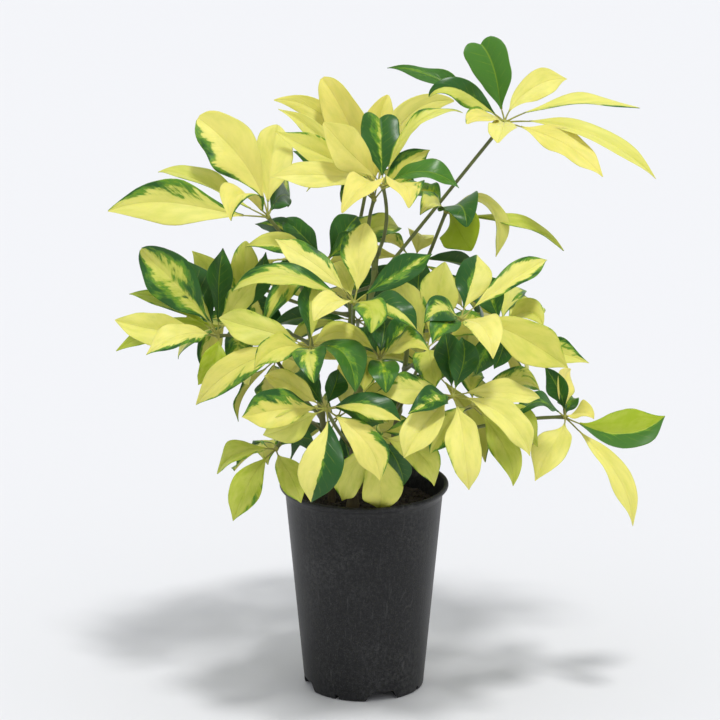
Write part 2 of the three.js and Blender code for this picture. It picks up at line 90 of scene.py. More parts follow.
# Stem, share of its length, hub and bow of the stalk, then for each leaflet: tip (across, up, front), bow
# (across, up, front), width, lean and turn in degrees, and what its marks are like: green share of the left
# half and of the right half, lime tint, and bluntness of the tip. Zeros at the end of a row are left out.
LEAVES = {}
LEAVES["leaf_a"] = Leaf(LEFT, 0.98, (-96, 464, 15), (6, 4, 0), [
    (-256, 470, -5, 2, 4, 10, 42, 65, -10, 0, 0.4, 0.12, 0.1),
    (-206, 509, -50, -8, 7, 0, 32, 0, 0, 0.1, 0.1, 0.35),
    (-133, 460, 85, -4, 20, 8, 36, 50, -20, 0.3, 0, 0.05),
    (-74, 483, -60, 0, 8, 0, 28, 60, 30, 1, 1, 0.5),
    (-166, 563, -25, 10, 9, 0, 47, 70, -15, 0.3, 0, 0, 0.8),
    (-86, 556, -60, -3, 0, 6, 44, 75, 10, 0.05, 0, 0.05, 0.3),
    (-76, 507, -95, 0, 4, 0, 26, 60, 40, 0.6, 0.6, 0.6),
])
LEAVES["leaf_b"] = Leaf(MIDDLE, 0.98, (19, 494, 25), (6, 0, 6), [
    (-41, 558, 60, -4, 10, 5, 38, 60, 0, 0, 0, 0, 0.3),
    (-89, 550, 20, 0, 6, 5, 26, 45, 0, 0, 0.2, 0.2),
    (-94, 504, 60, 0, 11, 5, 29, 55, 0, 0, 0.05),
    (-22, 468, 115, 4, 14, 10, 33, 55, -15, 0, 0, 0, 0.3),
    (15, 568, -15, 0, 0, 4, 38, 80, 5, 0.75, 1, 0.5, 1.3),
    (99, 568, -5, -11, 18, 0, 15, 30, 10, 0.3, 0, 0.3),
    (95, 493, 45, 0, 19, 10, 28, 35, 0, 1, 1, 1),
    (45, 473, 105, 3, 14, 12, 34, 55, 20, 0.45, 0, 0, 0.2),
])
LEAVES["leaf_b_upper"] = Leaf(MIDDLE, 0.92, (10, 481, -30), (-6, 0, 0), [
    (-42, 603, -40, 5, 8, 4, 37, 70, -15, 0, 0.05, 0, 0.8),
    (-90, 581, -60, 3, 20, 0, 25, 55, 0, 0, 0, 0.1, 0.2),
    (-86, 572, -20, 2, 14, 0, 22, 55, 0, 0.05, 0, 0.1),
    (-1, 551, -75, 0, 0, 0, 24, 75, -40, 0.2, 0.2, 0.6),
    (24, 586, -75, -5, 0, 0, 34, 70, 10, 0, 0, 0.05, 0.4),
    (90, 580, -45, -10, 27, 0, 28, 65, 15, 0, 0, 0, 0.3),
    (-71, 530, -50, 0, 6, 0, 24, 60, 0, 1, 0.9, 0.6),
    (66, 531, -60, 0, 6, 0, 26, 60, 10, 0.5, 0.3, 0.3),
])
LEAVES["leaf_t"] = Leaf(MIDDLE, 0.86, (141, 559, -45), (3, 4, 0), [
    (114, 643, -75, 0, 4, 0, 38, 80, -5, 1, 1, 1, 1.3),
    (23, 613, -90, 3, 8, 0, 20, 40, 0, 1, 0.9, 0.8),
    (65, 584, -20, -10, 19, 5, 25, 60, -10, 0.2, 1, 0.4, 0.2),
    (103, 557, 20, -4, 10, 5, 26, 55, -15, 0, 0.2, 0, 0.3),
    (134, 538, 45, 0, 7, 8, 30, 60, 0, 0, 0, 0, 0.3),
    (203, 602, -90, -13, 3, 0, 29, 50, 5),
    (276, 573, -45, -10, 11, 0, 25, 15, 0, 0, 0.25, 0.15),
    (239, 504, 15, 7, 7, 5, 34, 50, 10),
    (292, 502, -10, 1, 20, 5, 25, 35, 0, 0, 0, 0.15),
])
LEAVES["leaf_c"] = Leaf(RIGHT, 0.98, (82, 469, -35), (0, 0, 0), [
    (103, 454, 35, 2, 12, 8, 40, 45, 0, 1, 1, 0.5, 0.3),
    (107, 430, 5, 0, 8, 5, 48, 95, 0, 0.05, 0.1, 0.95, 0.2),
    (132, 424, -30, 13, 33, 0, 28, 20, 40, 0, 0.1, 0.2),
    (200, 430, -40, 0, 6, 0, 26, 10, 0, 0, 0.2, 0.6),
    (46, 488, -90, 0, 8, 0, 28, 30, 0, 0.6, 0.6, 0.8),
    (56, 466, 34, 0, 8, 0, 26, 60, 0, 0.3, 0.3, 0.2),
])
LEAVES["leaf_d"] = Leaf(MIDDLE, 0.6, (-10, 378, 120), (-4, -14, 0), [
    (-89, 442, 80, 2, 10, 5, 30, 50, 0, 0, 0.35),
    (-131, 390, 105, -4, 20, 8, 26, 45, 0, 0.15, 0.55, 0.3),
    (-50, 360, 175, 0, 10, 8, 32, 50, -15, 0, 0, 0, 0.3),
    (7, 348, 185, 6, 12, 10, 34, 60, 10, 0.3, 0.5, 0.6, 0.2),
    (1, 458, 75, 2, 0, 4, 34, 75, 0, 0.3, 0, 0, 0.3),
    (68, 427, 90, 0, 4, 4, 27, 60, 5, 0.85, 0.85, 0.3),
    (53, 351, 155, 6, 14, 8, 32, 40, 15, 1, 0.35, 0.3),
    (-30, 418, 62, 0, 4, 0, 24, 60, 0, 0, 0, 0.3),
])
LEAVES["leaf_e"] = Leaf(LEFT, 0.9, (-40, 418, 12), (0, 0, 0), [
    (-109, 457, -45, 0, 8, 0, 26, 50, 0, 1, 0.8, 0.4),
    (-119, 434, 50, 0, 8, 0, 26, 45, 0, 0.5, 0.1, 0.3),
    (-79, 463, -40, 0, 6, 0, 26, 60, 0, 1, 1, 0.5),
    (-7, 465, -30, 0, 0, 4, 30, 75, 0, 1, 0.9, 0.5, 0.2),
    (7, 444, 12, 0, 6, 0, 24, 50, 0, 0.8, 0.8, 0.6),
    (36, 452, -85, 0, 10, 0, 34, 55, 0, 0.2, 0.4, 0.5),
    (-101, 353, 95, 6, 18, 12, 26, 50, 0, 0.5, 0.5, 0.4),
])
LEAVES["leaf_f"] = Leaf(LEFT, 0.66, (-146, 345, 30), (0, 10, 0), [
    (-223, 432, -10, 1, 8, 4, 46, 75, -20, 0.55, 0.6, 0.3, 0.4),
    (-186, 424, -40, 0, 3, 0, 34, 70, 20, 0.35, 1, 0.3),
    (-141, 433, -20, 0, 0, 4, 29, 75, 30, 1, 1, 0.5),
    (-106, 400, 25, 0, 6, 0, 26, 60, 25, 0.2, 0.1, 0.35),
    (-235, 387, -20, 0, 13, 0, 23, 30, 0, 0.2, 0.2, 0.8),
    (-249, 361, 15, -5, 0, 4, 35, 60, 0, 0, 0.1, 0.15, 0.1),
    (-218, 326, 75, 0, 13, 10, 31, 45, 0, 0.4),
    (-166, 296, 50, 7, 10, 8, 28, 100, 0, 0.1, 0.1, 0.8),
])
LEAVES["leaf_f_inner"] = Leaf(LEFT, 0.76, (-124, 356, -35), (0, 6, 0), [
    (-172, 430, -75, 0, 6, 0, 28, 60, 0, 0.1, 0.1, 0.5),
    (-118, 440, -80, 0, 4, 0, 30, 60, 0, 0.2, 0.1, 0.4, 0.3),
    (-98, 429, -45, 0, 4, 0, 26, 50, 30, 1, 1, 0.5),
    (-248, 330, -30, 0, 6, 0, 28, 40, 0, 0.1, 0.1, 0.7),
    (-186, 322, -95, 0, 12, 0, 34, 30, 0, 0.4, 0.3, 0.3),
    (-130, 310, 20, 0, 10, 0, 30, 50, 0, 0.5, 0.5, 0.4),
])
LEAVES["leaf_g"] = Leaf(LEFT, 0.5, (-54, 333, 140), (0, 8, 0), [
    # This leaflet's lime tint is partly its own colour and partly painted shade: it is set higher to darken
    # it for the shade it lies in.
    (-145, 363, 115, 0, 6, 5, 33, 60, 0, 0, 0.1, 0.3, 0.1),
    (-168, 276, 125, -10, 16, 10, 33, 55, 0, 0.3, 0.05, 0.15),
    (-49, 402, 110, 0, 0, 4, 26, 85, 10, 0.9, 0.1, 0.4),
    (-9, 289, 180, 10, 20, 10, 36, 55, 30, 0.9, 0.95, 0.8),
    (-50, 298, 205, 0, 10, 8, 32, 60, 0, 0.7, 0.5, 0.4, 0.2),
    (-110, 312, 175, 0, 10, 6, 28, 50, 0, 0.3, 0.2, 0.3),
])
LEAVES["leaf_h"] = Leaf(MIDDLE, 0.5, (16, 323, 125), (0, -8, 0), [
    (-51, 337, 128, 0, 20, 4, 28, 30, -10, 0.1, 0.1, 0.3),
    (-6, 354, 85, 0, 0, 0, 24, 70, 0, 1, 1, 0.4),
    (18, 366, 80, 0, 0, 0, 24, 85, 0, 1, 1, 0.3),
    (51, 357, 100, 0, 6, 0, 26, 50, 0, 0.8, 0.1, 0.4),
    (65, 330, 165, 0, 10, 5, 28, 45, 0, 0.45, 0.05, 0.3),
    (22, 288, 180, 2, 8, 12, 28, 70, 10, 0.8, 0.9, 0.7, 0.2),
    (0, 290, 170, -4, 8, 12, 26, 70, -15, 0.2, 0.2, 0.4),
])
LEAVES["leaf_i"] = Leaf(MIDDLE, 0.22, (-38, 272, 165), (0, -4, 0), [
    (-100, 305, 145, 0, 4, 5, 26, 55, 0, 0.05, 0.1, 0.15),
    (-69, 308, 125, 0, 2, 0, 24, 70, 0, 1, 1, 0.4),
    (-26, 312, 130, 0, 0, 0, 24, 80, 10, 1, 1, 0.3),
    (37, 260, 185, 0, 12, 8, 30, 45, 0, 0.95, 0.1, 0.2),
    (20, 258, 150, 0, 6, 0, 28, 45, 0, 0.8, 0.8, 0.7),
    (16, 200, 195, 6, 9, 12, 33, 75, 15, 0.35),
    (-53, 179, 195, 8, 8, 16, 39, 80, 0, 0.95),
    (-122, 264, 178, 2, 7, 8, 41, 58, 0, 0.1, 0.5, 0.15),
    (-101, 246, 175, 0, 2, 10, 30, 85, 0, 0.05, 0.05, 0.35),
])
# The lime tint of this leaf's leaflets is partly their own colour and partly painted shade: it is set higher
# to darken the leaf for the shade it lies in under the leaves above.
LEAVES["leaf_j"] = Leaf(LEFT, 0.3, (-88, 232, 110), (4, 22, 0), [
    (-147, 207, 110, -3, 10, 4, 28, 30, 0, 0.15, 0.1, 0.6),
    (-131, 160, 140, -6, 8, 12, 28, 80, -15, 0.2, 0.1, 0.6),
    (-63, 178, 150, -2, 6, 12, 30, 80, 15, 0.1, 0.1, 0.5),
    (-51, 241, 75, 0, 6, 0, 30, 45, 0, 1, 1, 0.4),
    (-130, 210, 35, 0, 8, 0, 30, 40, 0, 0.3, 0.3, 0.3),
    (-96, 216, 20, 0, 14, 0, 30, 30, 0, 0.3, 0.4, 0.3),
])
LEAVES["leaf_k"] = Leaf(RIGHT, 0.3, (89, 285, 140), (0, 6, 0), [
    (98, 344, 115, 2, 0, 4, 28, 80, 0, 0.95, 0.95, 0.4),
    (81, 350, 95, 0, 0, 4, 28, 80, -15, 1, 1, 0.4),
    (11, 288, 165, 0, 6, 8, 32, 50, 0, 0, 0.4, 0.15),
    (44, 267, 190, 0, 8, 8, 26, 50, 0, 0.8, 0.8, 0.1),
    (40, 223, 190, -4, 8, 12, 36, 70, -15, 0, 0.03),
    (105, 191, 190, 4, 8, 16, 36, 80, 5, 0.05, 0.1),
    (166, 225, 170, 4, 16, 10, 31, 50, 15, 0, 0.05, 0.05),
    (176, 283, 125, 0, 8, 5, 28, 45, 0, 0, 0.03, 0.05),
])
LEAVES["leaf_l"] = Leaf(RIGHT, 0.2, (201, 264, 40), (0, 10, 0), [
    (171, 200, 95, 7, 8, 12, 33, 80, -10, 0.05),
    (152, 263, 82, -4, 18, 8, 28, 35, 0, 1, 1, 0.5),
    (181, 314, 0, 5, 0, 0, 23, 80, -15, 1, 0.95, 0.4),
    (207, 312, -20, -4, 2, 0, 26, 75, 30, 0, 0.1),
    (208, 285, 5, 0, 2, 0, 20, 40, 0, 1, 0.9, 0.6),
    (230, 262, 65, 4, 8, 8, 22, 30, 0),
    (301, 265, 20, 0, -12, 5, 42, 50, 0, 0.12, 0.95, 0.86),
    (269, 155, 75, 9, 7, 14, 25, 75, 30, 0.05, 0.05, 0.05),
])
LEAVES["leaf_m"] = Leaf(RIGHT, 0.62, (97, 362, 110), (0, -6, 0), [
    (113, 426, 60, 0, 0, 4, 33, 75, 0, 0.95, 0.05, 0.1, 0.2),
    (183, 421, 50, 0, 7, 4, 25, 40, 0, 0.25, 0.3),
    (204, 313, 120, 1, 14, 10, 42, 60, 0, 0.1, 0.05, 0.3),
    (129, 322, 180, 4, 12, 10, 36, 60, 15, 0.05, 0.15),
    (60, 358, 155, 0, 10, 5, 28, 50, 0, 0.8, 0.6, 0.2),
    (68, 338, 175, 0, 8, 6, 26, 50, 0, 0.8, 0.8, 0.7),
])
LEAVES["leaf_n"] = Leaf(RIGHT, 0.5, (138, 353, 30), (0, -10, 0), [
    (119, 408, 0, 0, 0, 4, 30, 80, 0, 1, 0.9, 0.4),
    (179, 356, 75, 2, 12, 5, 30, 50, 0, 0.1, 0.1, 0.35, 0.2),
    (130, 312, 70, 4, 6, 8, 26, 80, 0, 1, 1, 0.4),
    (225, 318, 45, 0, -4, 5, 24, 45, 0, 0.45, 0.05, 0.25),
    (112, 306, 45, 0, 8, 8, 26, 70, 0, 0.9, 0.9, 0.5),
    (176, 374, -40, 0, 8, 0, 30, 40, 0, 0.3, 0.3, 0.2),
    (144, 396, -70, 0, 10, 0, 34, 40, 0, 0.4, 0.3, 0.2),
])
LEAVES["leaf_p"] = Leaf(RIGHT, 0.42, (63, 333, 60), (0, 0, 0), [
    (81, 419, 30, 0, 0, 4, 36, 80, 5, 0.1, 0.1, 0.3, 0.2),
    (33, 403, 45, 0, 0, 4, 34, 80, -10, 0, 0.15, 0.3, 0.2),
    (60, 424, -15, -6, 8, 0, 30, 50, 0, 1, 1, 0.4),
    (126, 350, 20, 0, 10, 0, 32, 40, 0, 0.3, 0.2, 0.3),
    (-10, 330, 60, 0, 12, 0, 30, 40, 0, 0.5, 0.5, 0.4),
    (70, 290, 120, 0, 12, 8, 32, 60, 0, 0.3, 0.3, 0.4),
])
LEAVES["leaf_q"] = Leaf(RIGHT, 0.12, (108, 275, 70), (0, 8, 0), [
    (149, 195, 115, 13, 3, 10, 26, 85, 10, 0.05, 0.1, 0.55),
    (174, 234, 90, 2, 12, 2, 26, 60, 30, 0.1, 0.1, 0.6),
    (176, 290, 20, 0, 12, 0, 32, 30, 0, 0.3, 0.4, 0.3),
    (110, 305, -10, 0, 10, 0, 30, 40, 0, 0.5, 0.5, 0.4),
    (66, 227, 101, -2, 12, 8, 28, 70, 0, 0.3, 0.3, 0.4),
])
LEAVES["leaf_r"] = Leaf(MIDDLE, 0.12, (12, 246, 72), (0, 6, 0), [
    (16, 172, 66, 0, 4, 14, 40, 90, 10, 0.1, 0.1, 0.3, 0.2),
    (-22, 180, 62, -4, 6, 10, 32, 90, -15, 0.1, 0.15, 0.35),
    (40, 196, 62, 4, 6, 8, 26, 85, 20, 1, 1, 0.4),
    (70, 195, 100, 8, 10, 10, 30, 75, 15, 0.1, 0.1, 0.35),
    (24, 258, 120, 0, 8, 4, 26, 60, 0, 0.2, 0.4, 0.3),
    (68, 231, 46, 0, 10, 0, 30, 40, 0, 0.5, 0.5, 0.5),
])

# Stem, share of its length, hub, leaflets, their length and width, lean, turn, droop and spin
RINGS = {
    "ring_back_top": Ring(BACK, 0.99, (6, 512, -125), 6, 84, 31, -30, -5, 14, 10),
    "ring_back_right": Ring(BACK, 0.9, (50, 421, -160), 7, 104, 36, -50, 15, 18, 30),
    "ring_back_left": Ring(BACK, 0.8, (-112, 398, -142), 7, 104, 36, -45, -25, 20, -10),
    "ring_right_side": Ring(RIGHT, 0.8, (106, 366, -112), 7, 104, 36, -40, 30, 22, 18),
    "ring_back_middle": Ring(BACK, 0.6, (-6, 360, -206), 7, 112, 38, -60, 0, 20, 5),
    "ring_left_low": Ring(LEFT, 0.4, (-88, 322, -72), 6, 82, 32, -40, -40, 16, 36),
    "ring_back_low": Ring(BACK, 0.4, (70, 310, -170), 7, 108, 38, -60, 25, 24, 22),
    "ring_low_left": Ring(BACK, 0.25, (-26, 264, -152), 7, 104, 36, -65, -30, 26, 12),
}
ALL_LEAVES = {**LEAVES, **RINGS}

# The stalk side of a ring has shorter leaflets, by this share
RING_SHORTENING = 0.2
RING_BOW = 0.1  # of a leaflet's length
RING_STALK_SAG = 0.05  # of a leaflet's length
# Green shares of the blades in a ring, with their odds, and those of a blade's other half where it differs
RING_GREENS, RING_ODDS = (0.0, 0.12, 0.35, 0.6, 1.0), (0.2, 0.2, 0.2, 0.15, 0.25)
OTHER_GREENS, SAME_GREEN_ODDS = (0.0, 0.15, 0.45, 1.0), 0.5
RING_TINT, RING_BLUNT = 0.45, 0.4  # at most

# Half width of a blade, as a share of its greatest, along its length
OUTLINE_ALONG = (0, 0.04, 0.1, 0.2, 0.32, 0.44, 0.56, 0.67, 0.77, 0.86, 0.93, 0.975, 1)
OUTLINE_POINTED = (0.05, 0.08, 0.2, 0.48, 0.78, 0.95, 0.99, 0.91, 0.71, 0.41, 0.18, 0.075, 0.0)
OUTLINE_BLUNT = (0.05, 0.08, 0.2, 0.46, 0.75, 0.93, 1.0, 1.02, 0.98, 0.86, 0.66, 0.42, 0.1)
# It is rounded off by a bell over some of these steps, which reach past both ends of the blade
OUTLINE_STEPS = np.linspace(-0.1, 1.1, 241)
OUTLINE_BELL = np.exp(-np.linspace(-2, 2, 17) ** 2)
# Places of the blade's rows of points, as shares of its length and of its half width
ROWS_ALONG = np.concatenate([np.linspace(0, 0.9, 22), [0.935, 0.96, 0.98, 0.992, 1]])
ROWS_ACROSS = np.array([-1, -0.94, -0.78, -0.56, -0.34, -0.15, 0, 0.15, 0.34, 0.56, 0.78, 0.94, 1])
NECK_SHARE = 0.15  # of a leaflet's length, from the hub to the blade
# Shape of a blade: least and most of what is drawn at random for it
FOLD_DRAWN = (0.4, 1.7)  # times the fold
WAVE_DRAWN = (0.5, 1.3)  # times the height of the waves
WAVE_TURNS = (0.9, 2.4)
WAVE_FADE = 0.7  # the power by which they fade towards both ends
SWELL_TURNS, RIPPLE_TURNS = (0.6, 1.5), (2.0, 3.5)
SWELL, RIPPLE = 0.11, 0.02  # of the half width, in each margin
TWIST, TWIST_ONSET = 0.4, 1.5  # radians, either way, at the tip, and the power by which it sets in
ARCH = 0.07  # of the length, at most
ARCH_PEAK = 6.75  # makes the arch's curve 1 at its highest
BEND, BEND_ONSET = 0.055, 1.3  # of the length, either way, and the power that moves it to the tip
FOLD_RISE, FOLD_FALL = 1.25, 0.45  # the half blade's section, straight part and curved part
# A tip that is more than blunt has a notch, as deep and as wide as this for one that is blunt twice over
NOTCH_DEPTH = 0.26  # of a leaflet's length
NOTCH_WIDTH = 0.55  # of the greatest half width
NOTCH_EDGE, NOTCH_REACH = 1.4, 9  # the powers by which it fades to the sides and down the blade
RIB_GROOVE = 0.3  # of the rib's depth, on the upper side
RIB_TAPER = 0.7  # the power by which the rib thins towards the tip
KNOB_POLE, KNOB_RINGS = 0.12, 7  # radians from a knob's pole to its first ring, and how many there are
SEEDS_PER_LEAF = 100  # more than a leaf has leaflets, so that each draws its own numbers

# A leaflet's own stalk: swelling at the hub, then the shares of length before and under the blade between
# which it thins, how thin it gets, and how far it lies under the blade, in its own radii
NECK_SWELL, NECK_SWELL_LENGTH = 0.45, 0.03
NECK_FOOT = 0.2  # where it starts inside the hub, in the hub's radii
NECK_BEFORE, NECK_UNDER, NECK_THIN, NECK_SUNK = 0.03, 0.06, 0.35, 0.55
NECK_RINGS, TUBE_SIDES = 9, 8

STEM_TAPER = 0.66  # share of its radius that a stem loses towards its tip
STEM_DEPTH = 0.03  # metres below the soil
STEM_SWELL, STEM_SWELL_LENGTH = 0.22, 0.012  # at each leaf's stalk, shares of radius and of length
STEM_BUD = (0.98, 0.92, 0.82, 0.66, 0.44, 0.15)  # shares of the radius at the tip
STEM_STEPS, STEM_RINGS, STALK_RINGS = 14, 90, 40  # steps between two points of a path, then rings
ARC_STEPS = 97  # to measure a bowed curve by
LEAST_GAP = 1e-6  # metres between two points of a path
STALK_FOOT_SWELL, STALK_FOOT_LENGTH = 0.8, 0.06
STALK_HUB_SWELL, STALK_HUB_LENGTH = 0.35, 0.03
# Sides of a tube, height of its unevenness and number of its lumps on a metre
STEM_TUBE, STALK_TUBE = (20, 0.0011, 90.0), (12, 0.0004, 130.0)

# Pot and soil, in metres
SOIL_TOP = 0.185
COLLAR = 0.008
WALL_RINGS = 12
BASE_CHAMFER = 0.002
# Round bottom edge and inner edge of the lip: places from the base radius and from the neck
BASE_EDGE = ((-0.0024, 0.0), (-0.0012, 0.0003), (-0.0003, 0.0011), (0.0, 0.0024))
LIP_INSIDE = ((0.0006, 0.002), (0.0, -0.001))
# The wall curves out under the lip, swells to a round edge and rolls over to the inside: shares of its size
LIP = ((0.04, 0.05), (0.12, 0.14), (0.24, 0.25), (0.38, 0.36), (0.52, 0.45), (0.68, 0.53), (0.83, 0.61),
       (0.94, 0.69), (1.0, 0.79), (0.98, 0.88), (0.90, 0.95), (0.77, 0.99), (0.62, 1.0), (0.46, 0.98),
       (0.34, 0.93), (0.26, 0.84), (0.22, 0.70))
# Cut-outs: width, width at the top, height, depth, then where they are, in degrees
WIDE_CUT = (0.034, 0.023, 0.0095, 0.032, 18)
NARROW_CUT = (0.0045, 0.0035, 0.005, 0.010, -27)
CUT_CORNER = 0.0015
SHARP_EDGE = math.radians(38)
SOIL_GAP = 0.0003
SOIL_EDGE_DROP = 0.001
SOIL_SIDES, SOIL_RINGS, SOIL_RING_SHARES = 150, 34, (0.985, 0.04)
LUMP_SIZE, LUMP_DETAIL, LUMP_MIDDLE = 0.011, 3, 0.45
CRUMB_LEAST, CRUMB_MOST = (0.3, 0.3, 0.25), (1.7, 1.1, 1.1)  # times its radius
CRUMB_TURN = (6.3, 6.3, 6.3)
CRUMB_SEED, CRUMB_TURN_SEED, CRUMB_SIZE_SEED = 3, 4, 9
UPWARD = 0.6  # least rise of a face that crumbs lie on

# Stage
FLOOR_HALF = 12.0  # metres
SKY_COLOUR = (0.95, 0.97, 1.0, 1.0)
KEY_DIRECTION = (-0.12, 0.35, -1.0)
LENS, SENSOR, FARTHEST = 250, 36, 100  # millimetres, millimetres and metres


# Sizes and colours

class PotSizes(bpy.types.PropertyGroup):
    wall: FloatProperty(name="Wall", description="Thickness of the pot's wall", default=0.002, unit="LENGTH")
    neck_radius: FloatProperty(
        name="Neck radius", description="Outside radius just under the lip", default=0.0777, unit="LENGTH")
    base_radius: FloatProperty(
        name="Base radius", description="Outside radius at the bottom", default=0.0593, unit="LENGTH")
    lip_height: FloatProperty(
        name="Lip height", description="Height of the rolled lip", default=0.012, unit="LENGTH")
    floor: FloatProperty(
        name="Floor", description="Thickness of the base, with the cut-outs under it", default=0.012,
        unit="LENGTH")
    sides: IntProperty(name="Sides", description="Steps round the pot", default=160, min=24)
    colour: FloatVectorProperty(
        name="Colour", description="Black plastic", default=(0.0042, 0.0044, 0.0050), subtype="COLOR")
    scuff: FloatVectorProperty(
        name="Scuffs", description="Scuffed and dusty plastic", default=(0.066, 0.066, 0.065),
        subtype="COLOR")


class SoilSizes(bpy.types.PropertyGroup):
    roughness: FloatProperty(
        name="Unevenness", description="Height of the soil's lumps", default=0.003, unit="LENGTH")
    crumb: FloatProperty(name="Crumb", description="Radius of a crumb", default=0.0016, unit="LENGTH")
    crumbs: IntProperty(name="Crumbs", description="Crumbs on a square metre", default=62000, min=0)
    colour: FloatVectorProperty(
        name="Colour", description="Damp compost", default=(0.012, 0.008, 0.006), subtype="COLOR")


class LeafSizes(bpy.types.PropertyGroup):
    thickness: FloatProperty(
        name="Thickness", description="Thickness of a blade", default=0.0006, unit="LENGTH")
    fold: FloatProperty(
        name="Fold", description="Rise of the margins over the midrib, as a share of the half width",
        default=0.29)
    wave: FloatProperty(
        name="Wave", description="Height of the waves in the margin", default=0.0028, unit="LENGTH")
    rib: FloatProperty(
        name="Rib", description="Depth of the midrib under the blade", default=0.0007, unit="LENGTH")
    neck: FloatProperty(
        name="Neck", description="Radius of a leaflet's own stalk", default=0.0008, unit="LENGTH")
    hub: FloatProperty(
        name="Hub", description="Radius of the knob where leaflets meet", default=0.0027, unit="LENGTH")
    stalk: FloatProperty(name="Stalk", description="Radius of a leaf's stalk", default=0.0018, unit="LENGTH")
    yellow: FloatVectorProperty(
        name="Yellow", description="Pale yellow of the blades", default=(0.83, 0.77, 0.225), subtype="COLOR")
    gold: FloatVectorProperty(
        name="Warm yellow", description="Warmer yellow of the older leaflets", default=(0.82, 0.67, 0.15),
        subtype="COLOR")
    lime: FloatVectorProperty(
        name="Lime", description="Lime of the greener blades", default=(0.36, 0.46, 0.02), subtype="COLOR")
    fresh: FloatVectorProperty(
        name="Fresh green", description="Lighter green where the marks begin", default=(0.10, 0.27, 0.025),
        subtype="COLOR")
    green: FloatVectorProperty(
        name="Dark green", description="Dark green of the marks", default=(0.021, 0.098, 0.018),
        subtype="COLOR")
    neck_colour: FloatVectorProperty(
        name="Leaflet stalk colour", description="Yellow green of the leaflets' own stalks",
        default=(0.42, 0.42, 0.07), subtype="COLOR")
    stalk_colour: FloatVectorProperty(
        name="Stalk colour", description="Olive green of the stalks", default=(0.16, 0.19, 0.045),
        subtype="COLOR")
    bark: FloatVectorProperty(
        name="Bark", description="Brown of the stems", default=(0.075, 0.058, 0.03), subtype="COLOR")


class StageSizes(bpy.types.PropertyGroup):
    floor: FloatVectorProperty(
        name="Floor", description="Pale floor", default=(0.78, 0.78, 0.795), subtype="COLOR")
    sky: FloatProperty(name="Fill", description="Strength of the even light", default=0.72)
    sun: FloatProperty(name="Key", description="Strength of the light from above", default=1.7)
    softness: FloatProperty(
        name="Softness", description="Angle that the light from above fills", default=math.radians(9),
        subtype="ANGLE")


# Places and directions

def place(spot):
    """The point, in metres, of a place of the tables."""
    across, up, front = spot
    sight = Vector((across, up * math.sin(EYE_PITCH), up * math.cos(EYE_PITCH))) - EYE
    return (EYE + sight * ((-front - EYE.y) / sight.y)) * MM


def facing(lean, turn):
    """Direction of a face that leans forwards from level and is turned to the side, in degrees."""
    lean, turn = math.radians(lean), math.radians(turn)
    return Vector((math.sin(turn), -math.cos(turn) * math.sin(lean), math.cos(turn) * math.cos(lean)))


def bow_vector(bow):
    across, up, front = bow
    return Vector((across, -front, up)) * MM


def run_of(points):
    """Length of the path up to each of its points."""
    return np.concatenate([[0], np.cumsum(np.linalg.norm(np.diff(points, axis=0), axis=1))])


def unit(vectors):
    return vectors / np.linalg.norm(vectors, axis=1, keepdims=True)


def square_to(along, face):
    """The directions nearest to face that are square to along."""
    face = np.array(face)
    return unit(face - along * (along @ face)[:, None])


def arc(start, middle_bow, end, shares):
    """Points, directions and length of the curve from start to end that is bowed by middle_bow."""
    control = start.lerp(end, 0.5) + 2 * middle_bow

    def curve(t):
        return (1 - t) ** 2 * np.array(start) + 2 * t * (1 - t) * np.array(control) + t ** 2 * np.array(end)

    t = np.linspace(0, 1, ARC_STEPS)[:, None]
    run = run_of(curve(t))
    t = np.interp(np.asarray(shares) * run[-1], run, t[:, 0])[:, None]
    along = 2 * (1 - t) * np.array(control - start) + 2 * t * np.array(end - control)
    return curve(t), unit(along), run[-1]


def smooth_path(points, steps):
    """Points on the even-speed spline through the given points, as the solids' stems follow it."""
    points = [np.array(p) for p in points]
    ends = [2 * points[0] - points[1]] + points + [2 * points[-1] - points[-2]]
    path = []
    for before, a, b, after in zip(ends, ends[1:], ends[2:], ends[3:]):
        gaps = [max(np.linalg.norm(q - p), LEAST_GAP) ** 0.5 for p, q in ((before, a), (a, b), (b, after))]
        out = (a - before) / gaps[0] - (b - before) / (gaps[0] + gaps[1]) + (b - a) / gaps[1]
        into = (b - a) / gaps[1] - (after - a) / (gaps[1] + gaps[2]) + (after - b) / gaps[2]
        out, into = out * gaps[1], into * gaps[1]
        for t in np.linspace(0, 1, steps, endpoint=False):
            path.append((2 * t ** 3 - 3 * t ** 2 + 1) * a + (t ** 3 - 2 * t ** 2 + t) * out
                        + (3 * t ** 2 - 2 * t ** 3) * b + (t ** 3 - t ** 2) * into)
    path.append(points[-1])
    return np.array(path)


def stem_path(name):
    x, y = (MM * v for v in STEMS[name].foot)
    bottom = Vector((x, y, SOIL_TOP + COLLAR / 2))
    collar = Vector((x, y, SOIL_TOP + 2 * COLLAR))
    return smooth_path([bottom, collar] + [place(spot) for spot in STEMS[name].path], STEM_STEPS)


def on_stem(leaf):
    """Where the leaf's stalk leaves its stem."""
    path = stem_path(leaf.stem)
    run = run_of(path)
    return Vector([np.interp(leaf.share * run[-1], run, path[:, k]) for k in range(3)])


# Shader helpers

class Value:
    """What a node puts out. It can be added, subtracted and multiplied, which places the node for that."""

    def __init__(self, sheet, socket):
        self.sheet, self.socket = sheet, socket

    def __add__(self, other):
        return self.sheet.math("ADD", self, other)

    def __sub__(self, other):
        return self.sheet.math("SUBTRACT", self, other)

    def __rsub__(self, other):
        return self.sheet.math("SUBTRACT", other, self)

    def __mul__(self, other):
        return self.sheet.math("MULTIPLY", self, other)

    def __abs__(self):
        return self.sheet.math("ABSOLUTE", self)

    def clamped(self):
        """The same value, held between 0 and 1."""
        self.socket.node.use_clamp = True
        return self


